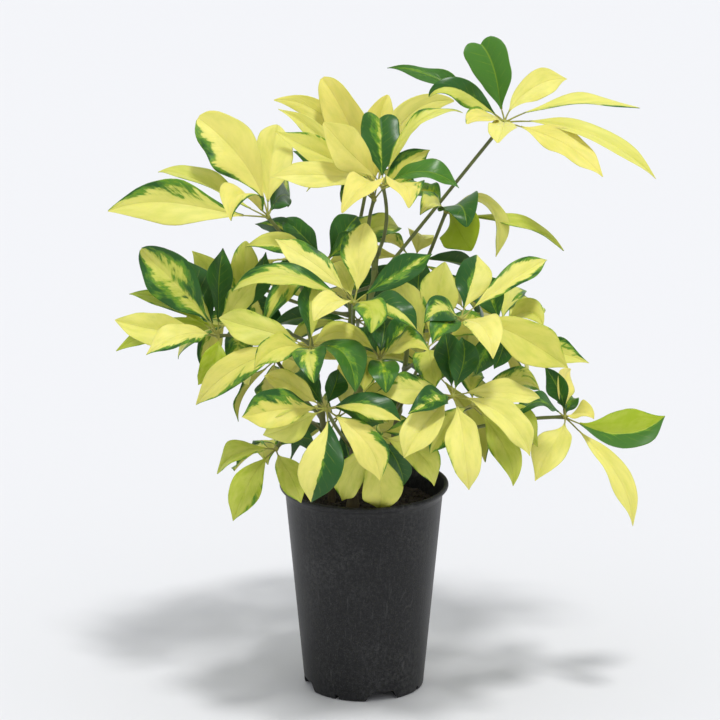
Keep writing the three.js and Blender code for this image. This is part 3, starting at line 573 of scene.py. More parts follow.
class Sheet:
    """Places nodes in a node tree and joins them, so that a material reads as a list of steps."""

    def __init__(self, tree):
        self.tree = tree

    def node(self, kind, inputs=None, **settings):
        node = self.tree.nodes.new(kind)
        for key, value in settings.items():
            setattr(node, key, value)
        for key, value in (inputs or {}).items():
            self.feed(node.inputs[key], value)
        return node

    def feed(self, socket, value):
        value = getattr(value, "socket", value)
        if isinstance(value, bpy.types.NodeSocket):
            self.tree.links.new(value, socket)
        else:
            socket.default_value = value

    def values(self, kind, inputs=None, **settings):
        return [Value(self, socket) for socket in self.node(kind, inputs, **settings).outputs]

    def value(self, kind, inputs=None, **settings):
        return self.values(kind, inputs, **settings)[0]

    def math(self, operation, *values):
        return self.value("ShaderNodeMath", dict(enumerate(values)), operation=operation)

    def ramp(self, value, low, high):
        """0 at low, 1 at high, smooth between them."""
        return self.value("ShaderNodeMapRange", {"Value": value, "From Min": low, "From Max": high},
                          interpolation_type="SMOOTHSTEP")

    def between(self, share, low, high):
        """low where share is 0, high where it is 1, straight between them."""
        return self.value("ShaderNodeMapRange", {
            "Value": share, "From Min": 0.0, "From Max": 1.0, "To Min": low, "To Max": high})

    def mix(self, share, a, b):
        """The mix of two colours, which are this node's inputs 6 and 7."""
        node = self.node("ShaderNodeMix", {0: share, 6: a, 7: b}, data_type="RGBA")
        return Value(self, node.outputs[2])

    def noise(self, vector, scale, detail=3.0, roughness=0.5):
        return self.value("ShaderNodeTexNoise", {
            "Vector": vector, "Scale": scale, "Detail": detail, "Roughness": roughness})

    def object_place(self):
        return Value(self, self.node("ShaderNodeTexCoord").outputs["Object"])

    def mapped(self, spot, scale, rotation=(0.0, 0.0, 0.0)):
        return self.value("ShaderNodeMapping", {"Vector": spot, "Rotation": rotation, "Scale": scale})

    def bump(self, height, strength, distance):
        return self.value("ShaderNodeBump", {"Height": height, "Strength": strength, "Distance": distance})

    def group(self, name, inputs):
        return self.node("ShaderNodeGroup", inputs, node_tree=bpy.data.node_groups[name]).outputs

    def surface(self, inputs):
        """The material's own shader, with what goes into each of its sockets."""
        shader = self.node("ShaderNodeBsdfPrincipled", inputs)
        self.node("ShaderNodeOutputMaterial", {"Surface": shader.outputs[0]})


def rgba(colour, times=1.0):
    return (*(min(1.0, times * c) for c in colour), 1.0)


def new_group(name, kind, inputs, outputs):
    """A node group with sockets by name and kind: the sheet to fill it with, and the values it is given."""
    tree = bpy.data.node_groups.new(name, kind)
    for way, sockets in (("INPUT", inputs), ("OUTPUT", outputs)):
        for label, socket_kind in sockets.items():
            tree.interface.new_socket(label, in_out=way, socket_type="NodeSocket" + socket_kind)
    sheet = Sheet(tree)
    return sheet, {value.socket.name: value for value in sheet.values("NodeGroupInput")}


def new_material(name):
    material = bpy.data.materials.new(name)
    material.use_nodes = True
    material.node_tree.nodes.clear()
    return Sheet(material.node_tree)


# Marks of the blades

# The noises: stretch across and along the blade, shift, detail and roughness
PATCHES = (1.7, 3.6, 7.0, 2.0, 0.5)
FINGERS = (1.1, 10.0, 0.0, 2.0, 0.6)
STREAKS = (2.2, 34.0, 43.0, 2.0, 0.6)
GRAIN = (9.0, 24.0, 19.0, 3.0, 0.65)
CLOUDS = (2.6, 5.5, 31.0, 3.0, 0.55)
SEED_SPREAD = 41.0  # how far apart two leaflets' noises may be
# Side veins: slant, how close they run, how wide they are, and where they end across a half of the blade
VEIN_SLANT, VEIN_TURNS, VEIN_EDGE, VEIN_END = 0.20, 27.0, (0.0, 0.28), (0.45, 0.85)
RIB_EDGE = (0.015, 0.06)  # half width of the midrib
# How far the border between the marks of the two halves wanders, and how wide it is
BORDER_WANDER, BORDER = 0.22, (-0.05, 0.05)
# Shares of green under which a half stays clean, over which it is calmer, and over which it is filled up
CLEAN, CALM, CALMER, FULL, FILL_UP = (0.0, 0.22), (0.8, 1.0), 0.45, (0.88, 1.0), 0.32
REACH, REACH_LACK = 1.40, 0.13  # how far in the marks come for a share of green
PATCH_STIR, FINGER_STIR, STREAK_FRAY, GRAIN_FRAY = 1.5, 0.75, 0.38, 0.25
FRESH_EDGE = (-0.03, 0.12)
DARK_FRAY, DARK_CLOUDS, DARK_EDGE, DARK_MOST = 0.7, 1.7, (0.14, 0.54), 0.96
# What makes the yellow greener: clouds, and the nearness of a mark
LIME_CLOUDS, LIME_NEAR = ((-0.2, 0.3), 0.26), ((-0.22, 0.03), 0.22)
OLDER, GOLD_MOST = (0.5, 0.0), 0.45  # leaflets whose own number is low are older
LIME_GRAIN, LIME_GRAIN_MOST = (-0.1, 0.2), 0.5
DEEP_FRESH = 0.62  # how much fresher the dark green of a lime blade is
PALER_CLOUDS, PALER_MOST = (0.2, -0.25), 0.28
RIB_LIME, RIB_MOST = 0.45, 0.75
GROOVE_DEPTH, RIB_DEPTH, CLOUD_HEIGHT = -0.13, 0.6, 0.25


def leaf_marks_group():
    """The marks of a blade, from where a point is on it and from its leaflet's own numbers."""
    colours = dict.fromkeys(("Yellow", "Gold", "Lime", "Fresh", "Green"), "Color")
    sheet, given = new_group("leaf_marks", "ShaderNodeTree", colours,
                             {"Color": "Color", "Dark": "Float", "Height": "Float"})
    yellow, gold, lime, fresh_green, green = (given[name] for name in colours)
    across, along, _ = sheet.values("ShaderNodeSeparateXYZ", {
        0: sheet.value("ShaderNodeUVMap", uv_map="blade")})
    marks, _, _, own = sheet.values("ShaderNodeAttribute", attribute_name="marks")
    left, right, tint = sheet.values("ShaderNodeSeparateColor", {0: marks})
    seed = own * SEED_SPREAD

    signed = across * 2.0 - 1.0
    half = abs(signed)
    # Side veins run outwards and towards the tip, and the marks reach in along them
    vein = along - half * VEIN_SLANT

    def field(across_scale, along_scale, shift, detail, roughness):
        spot = sheet.value("ShaderNodeCombineXYZ", {
            "X": signed * across_scale, "Y": vein * along_scale, "Z": seed + shift})
        return sheet.noise(spot, 1.0, detail, roughness) - 0.5

    patches, fingers, streaks, grain, clouds = (
        field(*noise) for noise in (PATCHES, FINGERS, STREAKS, GRAIN, CLOUDS))

    on_right = sheet.ramp(signed + (clouds + fingers) * BORDER_WANDER, *BORDER)
    share = left * (1.0 - on_right) + right * on_right
    # A yellow half stays clean, and an all green one whole
    loose = sheet.ramp(share, *CLEAN) * (1.0 - sheet.ramp(share, *CALM) * CALMER)
    stir = patches * PATCH_STIR + fingers * FINGER_STIR
    reach = share * REACH - REACH_LACK + sheet.ramp(share, *FULL) * FILL_UP + stir * loose
    depth = reach - (1.0 - half)
    fray = streaks * STREAK_FRAY + grain * GRAIN_FRAY
    feather = depth + fray * loose
    fresh = sheet.ramp(feather, *FRESH_EDGE)
    dark = sheet.ramp(depth + fray * DARK_FRAY + clouds * DARK_CLOUDS, *DARK_EDGE)
    # Side veins stay paler than the green between them
    veins = abs(sheet.math("SINE", vein * VEIN_TURNS))
    groove = (1.0 - sheet.ramp(veins, *VEIN_EDGE)) * (1.0 - sheet.ramp(half, *VEIN_END))
    rib = 1.0 - sheet.ramp(half, *RIB_EDGE)

    # The rest runs from pale yellow to lime
    greener = tint
    for noise, (edge, most) in ((clouds, LIME_CLOUDS), (feather, LIME_NEAR)):
        greener = (greener + sheet.ramp(noise, *edge) * most).clamped()
    warm = sheet.mix(sheet.ramp(own, *OLDER) * GOLD_MOST, yellow, gold)
    pale = sheet.mix(greener, warm, lime)
    light = sheet.mix(sheet.ramp(grain, *LIME_GRAIN) * LIME_GRAIN_MOST, fresh_green, lime)
    colour = sheet.mix(fresh, pale, light)
    deep = sheet.mix(tint * tint * DEEP_FRESH, green, fresh_green)
    colour = sheet.mix(dark * DARK_MOST, colour, deep)
    paler = groove * fresh * sheet.ramp(clouds, *PALER_CLOUDS)
    colour = sheet.mix(paler * PALER_MOST, colour, lime)
    # The midrib stays pale through the marks
    colour = sheet.mix(rib * fresh * RIB_MOST, colour, sheet.mix(RIB_LIME, fresh_green, lime))
    # Relief: the midrib is a groove, and so are the finer side veins
    height = groove * GROOVE_DEPTH - rib * RIB_DEPTH + clouds * CLOUD_HEIGHT
    sheet.node("NodeGroupOutput", {"Color": colour, "Dark": dark, "Height": height})


# Wear of the plastic: noises by scale, detail and roughness, and where each begins and is full
SMUDGES, SMUDGE_EDGE, SMUDGE_LEAST = (14.0, 5.0, 0.6), (0.40, 0.75), 0.25
MOTTLES, MOTTLE_EDGE = (260.0, 4.0, 0.7), (0.38, 0.66)
DUST, DUST_EDGE, DUST_MOST = (900.0, 2.0), (0.5, 0.68), 0.6
RUBS, RUB_EDGE, RUB_STRETCH, RUB_MOST = (3.0, 0.6), (0.60, 0.74), (300.0, 300.0, 24.0), 0.7
SCRATCH_TURN, SCRATCH_STRETCH = (0.5, 0.9, 0.3), (9.0, 38.0, 9.0)
SCRATCH_WIDTH, SCRATCH_MOST = (0.002, 0.007), 0.6
SCRATCH_PATCHES, SCRATCH_PATCH_EDGE = (45.0, 2.0), (0.52, 0.60)


def grime_group():
    """Cloudy wear with fine scratches, from object coordinates."""
    sheet, given = new_group("grime", "ShaderNodeTree", {"Scale": "Float", "Amount": "Float"},
                             {"Mask": "Float", "Height": "Float"})
    size, amount = given["Scale"], given["Amount"]
    spot = sheet.object_place()

    def field(scale, *detail):
        return sheet.noise(spot, size * scale, *detail)

    rubs = sheet.noise(sheet.mapped(spot, RUB_STRETCH), size, *RUBS)
    dust = field(*DUST)
    smudges = sheet.ramp(field(*SMUDGES), *SMUDGE_EDGE) + SMUDGE_LEAST
    cloudy = smudges * sheet.ramp(field(*MOTTLES), *MOTTLE_EDGE) + sheet.ramp(dust, *DUST_EDGE) * DUST_MOST
    # Fine scratches lie where a soft noise crosses its middle
    bent = sheet.mapped(spot, SCRATCH_STRETCH, SCRATCH_TURN)
    lines = 1.0 - sheet.ramp(abs(sheet.noise(bent, size, 2.0) - 0.5), *SCRATCH_WIDTH)
    scratches = lines * sheet.ramp(field(*SCRATCH_PATCHES), *SCRATCH_PATCH_EDGE)
    mask = (cloudy * amount + scratches * (amount * SCRATCH_MOST)).clamped()
    mask = (mask + sheet.ramp(rubs, *RUB_EDGE) * (amount * RUB_MOST)).clamped()
    sheet.node("NodeGroupOutput", {"Mask": mask, "Height": dust * 0.5 + rubs * 0.5})


# Materials

GREEN_FROM = (0.215, 0.32)  # heights between which bark turns green
UNWAXED = 0.18  # how much rougher a blade is between its marks
STALK_SHADE, BARK_LIGHT, SOIL_LIGHT = 0.55, 2.1, 3.2  # of the colour, where it is darker or lighter
POT_ROUGH, WEAR = (0.40, 0.62), 0.5
# Noises of stalks, bark and soil by scale, detail and roughness, and where each begins and is full
STALK_TONES, STALK_EDGE, STALK_GRAIN = (60.0, 3.0), (0.3, 0.7), (900.0, 2.0)
BARK_STRETCH, CRACKS, CRACK_EDGE = (260.0, 260.0, 40.0), (1.0, 5.0, 0.65), (0.3, 0.75)
SOIL_TONES, SOIL_EDGE, GRIT = (180.0, 4.0, 0.6), (0.35, 0.75), (700.0, 4.0, 0.7)


def leaf_material(name, wax, brightness):
    """A blade's skin: waxy, and waxier on the dark marks."""
    sizes = bpy.context.scene.umbrella_leaves
    sheet = new_material(name)
    colours = {"Yellow": sizes.yellow, "Gold": sizes.gold, "Lime": sizes.lime, "Fresh": sizes.fresh,
               "Green": sizes.green}
    marks = sheet.group("leaf_marks", {label: rgba(colour, brightness) for label, colour in colours.items()})
    sheet.surface({
        "Base Color": marks["Color"], "Roughness": sheet.between(marks["Dark"], wax + UNWAXED, wax),
        "Normal": sheet.bump(marks["Height"], strength=0.5, distance=0.0012),
        "Subsurface Weight": 0.55, "Subsurface Radius": (1.0, 1.1, 0.25), "Subsurface Scale": 0.0012,
        "IOR": 1.45, "Specular IOR Level": 0.3})


def stalk_material(name, colour):
    """A fleshy green stalk, darker in places."""
    sheet = new_material(name)
    spot = sheet.object_place()
    tone = sheet.ramp(sheet.noise(spot, *STALK_TONES), *STALK_EDGE)
    sheet.surface({
        "Base Color": sheet.mix(tone, rgba(colour, STALK_SHADE), rgba(colour)), "Roughness": 0.42,
        "Normal": sheet.bump(sheet.noise(spot, *STALK_GRAIN), strength=0.3, distance=0.0003),
        "Subsurface Weight": 0.1, "Subsurface Scale": 0.001})


def bark_material():
    """Bark with long cracks, which turns green towards the top of a stem."""
    sizes = bpy.context.scene.umbrella_leaves
    sheet = new_material("rough_bark")
    spot = sheet.object_place()
    cracks = sheet.noise(sheet.mapped(spot, BARK_STRETCH), *CRACKS)
    green_up = sheet.ramp(sheet.values("ShaderNodeSeparateXYZ", {0: spot})[2], *GREEN_FROM)
    bark = sheet.mix(sheet.ramp(cracks, *CRACK_EDGE), rgba(sizes.bark), rgba(sizes.bark, BARK_LIGHT))
    sheet.surface({
        "Base Color": sheet.mix(green_up, bark, rgba(sizes.stalk_colour)), "Roughness": 0.72,
        "Normal": sheet.bump(cracks, strength=0.7, distance=0.0008)})


def pot_material():
    """Black plastic, rougher and greyer where it is worn."""
    sizes = bpy.context.scene.umbrella_pot
    sheet = new_material("worn_black_plastic")
    wear = sheet.group("grime", {"Scale": 1.0, "Amount": WEAR})
    sheet.surface({
        "Base Color": sheet.mix(wear["Mask"], rgba(sizes.colour), rgba(sizes.scuff)),
        "Roughness": sheet.between(wear["Mask"], *POT_ROUGH),
        "Normal": sheet.bump(wear["Height"], strength=0.5, distance=0.0006),
        "Specular IOR Level": 0.28})


def soil_material():
    """Damp compost in two browns, with a rough grain."""
    sizes = bpy.context.scene.umbrella_soil
    sheet = new_material("damp_compost")
    spot = sheet.object_place()
    tone = sheet.ramp(sheet.noise(spot, *SOIL_TONES), *SOIL_EDGE)
    grit = sheet.noise(spot, *GRIT)
    sheet.surface({
        "Base Color": sheet.mix(tone, rgba(sizes.colour), rgba(sizes.colour, SOIL_LIGHT)),
        "Roughness": 0.9, "Normal": sheet.bump(grit, strength=0.9, distance=0.0012)})


# Mesh helpers

def link(piece):
    bpy.context.scene.collection.objects.link(piece)
    return piece


def plain_mesh(source, name):
    """Turns an object with modifiers into a plain mesh object in the same place."""
    depsgraph = bpy.context.evaluated_depsgraph_get()
    mesh = bpy.data.meshes.new_from_object(source.evaluated_get(depsgraph), depsgraph=depsgraph)
    mesh.name = name
    bpy.data.objects.remove(source)
    return link(bpy.data.objects.new(name, mesh))


def mesh_object(name, points, faces):
    mesh = bpy.data.meshes.new(name)
    mesh.from_pydata(points, [], faces)
    return link(bpy.data.objects.new(name, mesh))


def dress(piece, material):
    piece.data.materials.clear()
    piece.data.materials.append(material)
    smooth(piece.data)


def smooth(mesh):
    mesh.polygons.foreach_set("use_smooth", np.ones(len(mesh.polygons), dtype=bool))


def grid_faces(low, high):
    """Faces between two rings of points, given by their numbers, or between two stacks of such rings."""
    corners = [low, np.roll(low, -1, axis=-1), np.roll(high, -1, axis=-1), high]
    return np.stack(corners, axis=-1).reshape(-1, 4)


class Builder:
    """Gathers points, faces, their material, their place on the blade and their marks into one mesh."""

    def __init__(self):
        self.points, self.faces, self.slots, self.places, self.marks = [], [], [], [], []

    def add(self, points, faces, slots, places, marks):
        start = sum(len(p) for p in self.points)
        self.points.append(points)
        self.faces.append(faces + start)
        self.slots.append(slots)
        self.places.append(places)
        self.marks.append(np.broadcast_to(marks, (len(points), 4)))

    def object(self, name, materials):
        piece = mesh_object(name, np.concatenate(self.points), np.concatenate(self.faces))
        mesh = piece.data
        for material in materials:
            mesh.materials.append(material)
        mesh.polygons.foreach_set("material_index", np.concatenate(self.slots).astype(np.int32))
        corner_points = np.zeros(len(mesh.loops), dtype=np.int32)
        mesh.loops.foreach_get("vertex_index", corner_points)
        layer = mesh.uv_layers.new(name="blade")
        layer.data.foreach_set("uv", np.concatenate(self.places)[corner_points].ravel())
        marks = mesh.attributes.new("marks", "FLOAT_COLOR", "POINT")
        marks.data.foreach_set("color", np.concatenate(self.marks).ravel())
        smooth(mesh)
        mesh.update()
        return piece


# Leaflets

UPPER, UNDER, STALK = 0, 1, 2
BLADE_MATERIALS = ("leaf_upper", "leaf_under", "leaflet_stalk")


def blade_surface(hub, bow, tip, width, face, blunt, seed):
    """Rows of points of the blade's upper side, the directions of its face, and the leaflet's length."""
    sizes = bpy.context.scene.umbrella_leaves
    draw = np.random.default_rng(seed)
    centre, along, length = arc(hub, bow, tip, NECK_SHARE + (1 - NECK_SHARE) * ROWS_ALONG)
    upper = square_to(along, face)
    right = np.cross(along, upper)

    half_width = np.maximum(width * MM / 2 * outline_at(ROWS_ALONG, blunt), sizes.neck * 0.5)
    side = ROWS_ACROSS[None, :]
    # Each margin swells and draws in by itself
    left_width, right_width = (uneven_margin(half_width, draw)[:, None] for _ in range(2))
    half_width = np.where(side < 0, left_width, right_width)
    fold = sizes.fold * draw.uniform(*FOLD_DRAWN)
    rise = fold * (FOLD_RISE * np.abs(side) - FOLD_FALL * side ** 2) * half_width
    # Waves in the margin, of its own on each side
    waves = np.zeros((len(ROWS_ALONG), len(ROWS_ACROSS)))
    for half in (side < 0, side > 0):
        turns, start = draw.uniform(*WAVE_TURNS), draw.uniform(0, 2 * math.pi)
        wave = np.sin(turns * 2 * math.pi * ROWS_ALONG + start) * np.sin(math.pi * ROWS_ALONG) ** WAVE_FADE
        waves += wave[:, None] * np.where(half, side ** 2, 0)
    rise = rise + waves * sizes.wave * draw.uniform(*WAVE_DRAWN)
    # The blade twists along its length, arches towards its tip and bends a little to one side
    twist = draw.uniform(-TWIST, TWIST) * ROWS_ALONG ** TWIST_ONSET
    rise = rise + np.tan(twist)[:, None] * side * half_width
    arch = draw.uniform(0.0, ARCH) * length * ARCH_PEAK * ROWS_ALONG ** 2 * (1 - ROWS_ALONG)
    centre = centre + upper * arch[:, None]
    bend = draw.uniform(-BEND, BEND) * length * np.sin(math.pi * ROWS_ALONG ** BEND_ONSET)
    centre = centre + right * bend[:, None]
    points = (centre[:, None, :] + right[:, None, :] * (side * half_width)[:, :, None]
              + upper[:, None, :] * rise[:, :, None])
    middle = np.clip(1 - np.abs(side * half_width) / (NOTCH_WIDTH * half_width.max()), 0, 1)
    notch = NOTCH_DEPTH * max(0.0, blunt - 1) * length * ROWS_ALONG[:, None] ** NOTCH_REACH
    notch = notch * middle ** NOTCH_EDGE
    return points - along[:, None, :] * notch[:, :, None], upper, length


def uneven_margin(half_width, draw):
    """The half widths with a swelling and a ripple drawn for this margin."""
    wave = np.sin(2 * math.pi * (draw.uniform(*SWELL_TURNS) * ROWS_ALONG + draw.random()))
    ripple = np.sin(2 * math.pi * (draw.uniform(*RIPPLE_TURNS) * ROWS_ALONG + draw.random()))
    return half_width * (1 + SWELL * wave * np.sin(math.pi * ROWS_ALONG) + RIPPLE * ripple)


def outline_at(shares, blunt):
    """Half width of a blade at shares of its length, for a tip between pointed (0) and blunt (1)."""
    knots = [(1 - blunt) * p + blunt * b for p, b in zip(OUTLINE_POINTED, OUTLINE_BLUNT)]
    sharp = np.interp(OUTLINE_STEPS, OUTLINE_ALONG, knots)
    rounded = np.convolve(sharp, OUTLINE_BELL / OUTLINE_BELL.sum(), mode="same")
    return np.interp(shares, OUTLINE_STEPS, rounded)


def add_blade(builder, hub, bow, tip, width, face, marks, blunt, seed):
    """A blade as a thin closed skin, with its own stalk from the hub to a little way under it."""
    sizes = bpy.context.scene.umbrella_leaves
    top, upper, length = blade_surface(hub, bow, tip, width, face, blunt, seed)
    rows, columns = top.shape[:2]
    # The underside meets the upper one at the margins and at both ends
    inside = np.zeros((rows, columns))
    inside[1:-1, 1:-1] = 1
    depth = sizes.thickness * inside
    middle = columns // 2
    depth[1:-1, middle] += sizes.rib * (1 - ROWS_ALONG[1:-1]) ** RIB_TAPER
    under = top - upper[:, None, :] * depth[:, :, None]
    top[1:-1, middle] -= upper[1:-1] * RIB_GROOVE * sizes.rib

    index = np.arange(rows * columns).reshape(rows, columns)
    under_index = index.copy()
    free = inside.astype(bool)
    under_index[free] = rows * columns + np.arange(free.sum())
    points = np.concatenate([top.reshape(-1, 3), under[free]])
    above, below = (np.stack([n[:-1, :-1], n[:-1, 1:], n[1:, 1:], n[1:, :-1]], axis=-1).reshape(-1, 4)
                    for n in (index, under_index))
    faces = np.concatenate([above, below[:, [0, 3, 2, 1]]])
    grid = np.stack(np.broadcast_arrays(0.5 + 0.5 * ROWS_ACROSS[None, :], ROWS_ALONG[:, None]), axis=-1)
    places = np.concatenate([grid.reshape(-1, 2), grid[free]])
    builder.add(points, faces, np.repeat([UPPER, UNDER], len(above)), places, marks)

    shares = np.linspace(NECK_FOOT * sizes.hub / length, NECK_SHARE + NECK_UNDER, NECK_RINGS)
    centre, along, _ = arc(hub, bow, tip, shares)
    swell = 1 + NECK_SWELL * np.exp(-((shares - shares[0]) / NECK_SWELL_LENGTH) ** 2)
    thin = np.interp(shares, [NECK_SHARE - NECK_BEFORE, NECK_SHARE + NECK_UNDER], [1, NECK_THIN])
    upper = square_to(along, face)
    centre = centre - upper * sizes.neck * NECK_SUNK
    add_tube(builder, centre, along, upper, sizes.neck * swell * thin, marks)


def add_tube(builder, centre, along, upper, radii, marks):
    """A closed round tube along given points."""
    right = np.cross(along, upper)
    angles = np.arange(TUBE_SIDES) * 2 * math.pi / TUBE_SIDES
    ring = (np.cos(angles)[None, :, None] * right[:, None, :]
            + np.sin(angles)[None, :, None] * upper[:, None, :])
    points = (centre[:, None, :] + ring * radii[:, None, None]).reshape(-1, 3)
    count = len(centre)
    index = np.arange(count * TUBE_SIDES).reshape(count, TUBE_SIDES)
    walls = grid_faces(index[:-1], index[1:])[:, ::-1]
    caps = []
    for loop in (index[0], index[-1][::-1]):
        caps += [[loop[0], loop[k], loop[k + 1], loop[k + 2]] for k in range(1, TUBE_SIDES - 2, 2)]
    faces = np.concatenate([walls, np.array(caps)])
    places = np.stack(np.broadcast_arrays(
        np.linspace(0, 1, TUBE_SIDES)[None, :], np.linspace(0, 1, count)[:, None]), axis=-1)
    builder.add(points, faces, np.full(len(faces), STALK), places.reshape(-1, 2), marks)


def add_knob(builder, hub, radius, marks):
    """The hub where the leaflets meet: a small closed ball, as rings on a sphere."""
    angles = np.linspace(KNOB_POLE, math.pi - KNOB_POLE, KNOB_RINGS)
    centre = np.array(hub) + np.stack([0 * angles, 0 * angles, -radius * np.cos(angles)], axis=1)
    along = np.broadcast_to([0.0, 0.0, 1.0], (len(angles), 3))
    upper = np.broadcast_to([0.0, 1.0, 0.0], (len(angles), 3))
    add_tube(builder, centre, along, upper, radius * np.sin(angles), marks)


# Leaves

def table_leaflets(leaf):
    """Tip, bow, width, face, marks and bluntness of each leaflet of a leaf of the table."""
    for row in leaf.leaflets:
        width, lean, turn, left, right, tint, blunt = (*row[6:], 0, 0, 0, 0)[:7]
        yield place(row[:3]), bow_vector(row[3:6]), width, facing(lean, turn), (left, right, tint), blunt


def ring_leaflets(ring, hub, draw):
    """The same for a leaf of the back and sides, by its rule."""
    top = facing(ring.lean, ring.turn)
    outward = hub - on_stem(ring)
    outward -= top * outward.dot(top)
    outward.normalize()
    sideways = top.cross(outward)
    droop = math.radians(ring.droop)
    for i in range(ring.count):
        angle = math.radians(ring.spin + 360 * i / ring.count)
        length = ring.length * MM * (1 - RING_SHORTENING * (0.5 - 0.5 * math.cos(angle)))
        flat = outward * math.cos(angle) + sideways * math.sin(angle)
        tip = hub + flat * length * math.cos(droop) - top * length * math.sin(droop)
        green = draw.choice(RING_GREENS, p=RING_ODDS)
        other = green if draw.random() < SAME_GREEN_ODDS else draw.choice(OTHER_GREENS)
        tint = draw.uniform(0.0, RING_TINT)
        width = ring.width * length / (ring.length * MM)
        yield tip, top * RING_BOW * length, width, top, (green, other, tint), draw.uniform(0, RING_BLUNT)


def build_leaf(name, leaf, number):
    draw = np.random.default_rng(number)
    hub = place(leaf.hub)
    leaflets = table_leaflets(leaf) if isinstance(leaf, Leaf) else ring_leaflets(leaf, hub, draw)
    builder = Builder()
    for i, (tip, bow, width, face, shares, blunt) in enumerate(leaflets):
        marks = (*shares, draw.random())
        add_blade(builder, hub, bow, tip, width, face, marks, blunt,
                  SEEDS_PER_LEAF * number + i)
    add_knob(builder, hub, bpy.context.scene.umbrella_leaves.hub, (0, 0, 0.5, 0))
    return builder.object(name, [bpy.data.materials[n] for n in BLADE_MATERIALS])


# Stalks and stems

def tapered_tube_tree():
    """Curve to tube: a round section, as thick as the curve's own radius says and a little uneven."""
    sheet, given = new_group("tapered_tube", "GeometryNodeTree", {
        "Geometry": "Geometry", "Sides": "Int", "Unevenness": "Float", "Lump": "Float",
        "Material": "Material"}, {"Geometry": "Geometry"})
    section = sheet.value("GeometryNodeCurvePrimitiveCircle", {"Resolution": given["Sides"], "Radius": 1.0})
    tube = sheet.value("GeometryNodeCurveToMesh", {
        "Curve": given["Geometry"], "Profile Curve": section, "Fill Caps": True,
        "Scale": sheet.value("GeometryNodeInputRadius")})
    lumps = sheet.noise(sheet.value("GeometryNodeInputPosition"), given["Lump"], 2.0)
    push = sheet.value("ShaderNodeVectorMath", {
        0: sheet.value("GeometryNodeInputNormal"), "Scale": (lumps - 0.5) * given["Unevenness"],
    }, operation="SCALE")
    uneven = sheet.value("GeometryNodeSetPosition", {"Geometry": tube, "Offset": push})
    finish_tree(sheet, sheet.value("GeometryNodeSetShadeSmooth", {"Geometry": uneven}), given["Material"])


def finish_tree(sheet, geometry, material):
    """The last nodes of a tree: instances made real, and their material."""
    real = sheet.value("GeometryNodeRealizeInstances", {"Geometry": geometry})
    dressed = sheet.value("GeometryNodeSetMaterial", {"Geometry": real, "Material": material})
    sheet.node("NodeGroupOutput", {"Geometry": dressed})


def add_tree(source, name, values):
    """Puts a geometry tree on an object, with values for its named inputs."""
    modifier = source.modifiers.new(name, "NODES")
    modifier.node_group = bpy.data.node_groups[name]
    for item in modifier.node_group.interface.items_tree:
        if item.item_type == "SOCKET" and item.in_out == "INPUT" and item.name in values:
            modifier[item.identifier] = values[item.name]


def tubes(name, paths, sides, unevenness, lump, material):
    """One mesh of tapered tubes. Each path is points and a radius at each."""
    curve = bpy.data.curves.new(name + "_line", "CURVE")
    curve.dimensions = "3D"
    for points, radii in paths:
        spline = curve.splines.new("POLY")
        spline.points.add(len(points) - 1)
        spline.points.foreach_set("co", np.column_stack([points, np.ones(len(points))]).ravel())
        spline.points.foreach_set("radius", np.asarray(radii, dtype=float))
    source = link(bpy.data.objects.new(name + "_line", curve))
    add_tree(source, "tapered_tube", {
        "Sides": sides, "Unevenness": unevenness, "Lump": lump, "Material": material})
    return plain_mesh(source, name)


def stem_line(name):
    """The stem from below the soil to its bud, thinner upwards, with a swelling at each leaf's stalk."""
    radius = STEMS[name].radius * MM
    path = stem_path(name)
    foot = np.array([path[0][0], path[0][1], SOIL_TOP - STEM_DEPTH])
    points = np.concatenate([[foot], path])
    run = run_of(points)
    shares = run / run[-1]
    fine = np.linspace(0, 1, STEM_RINGS)
    points = np.stack([np.interp(fine, shares, points[:, k]) for k in range(3)], axis=1)
    radii = radius * (1.0 - STEM_TAPER * fine)
    for leaf in leaves_of(name):
        radii = radii + STEM_SWELL * radius * np.exp(-((fine - leaf.share) / STEM_SWELL_LENGTH) ** 2)
    radii[-len(STEM_BUD):] *= np.array(STEM_BUD)
    return points, radii


def stalk_line(leaf):
    """A leaf's stalk from its stem to its hub, thicker at both ends."""
    if isinstance(leaf, Leaf):
        bow = bow_vector(leaf.bow)
    else:
        bow = Vector((0, 0, -RING_STALK_SAG * leaf.length * MM))
    shares = np.linspace(0, 1, STALK_RINGS)
    points, _, _ = arc(on_stem(leaf), bow, place(leaf.hub), shares)
    stalk = bpy.context.scene.umbrella_leaves.stalk
    radii = stalk * (1 + STALK_FOOT_SWELL * np.exp(-(shares / STALK_FOOT_LENGTH) ** 2)
                     + STALK_HUB_SWELL * np.exp(-((1 - shares) / STALK_HUB_LENGTH) ** 2))
    return points, radii


def leaves_of(stem):
    return [leaf for leaf in ALL_LEAVES.values() if leaf.stem == stem]


# Pot and soil

def pot_profile():
    """Closed outline of the pot: radius and height, from under the base round the lip to the inside."""
    sizes = bpy.context.scene.umbrella_pot
    base, neck_radius = sizes.base_radius, sizes.neck_radius
    neck = POT_HIGH.z - sizes.lip_height
    outside = [(0.0, 0.0)] + [(base + r, z) for r, z in BASE_EDGE]
    wall_foot = BASE_EDGE[-1][1]
    slope = [(base + (neck_radius - base) * s, wall_foot + (neck - wall_foot) * s)
             for s in np.linspace(0, 1, WALL_RINGS)[1:]]
    lip_width = POT_HIGH.x - neck_radius
    lip = [(neck_radius + w * lip_width, neck + h * sizes.lip_height) for w, h in LIP]
    inner = neck_radius - sizes.wall
    floor_rise = (sizes.floor - BASE_CHAMFER) / (neck - BASE_CHAMFER)
    floor_radius = base + (neck_radius - base) * floor_rise - sizes.wall
    inside = [(inner + r, neck + z) for r, z in LIP_INSIDE]
    return outside + slope + lip + inside + [(floor_radius, sizes.floor), (0.0, sizes.floor)]


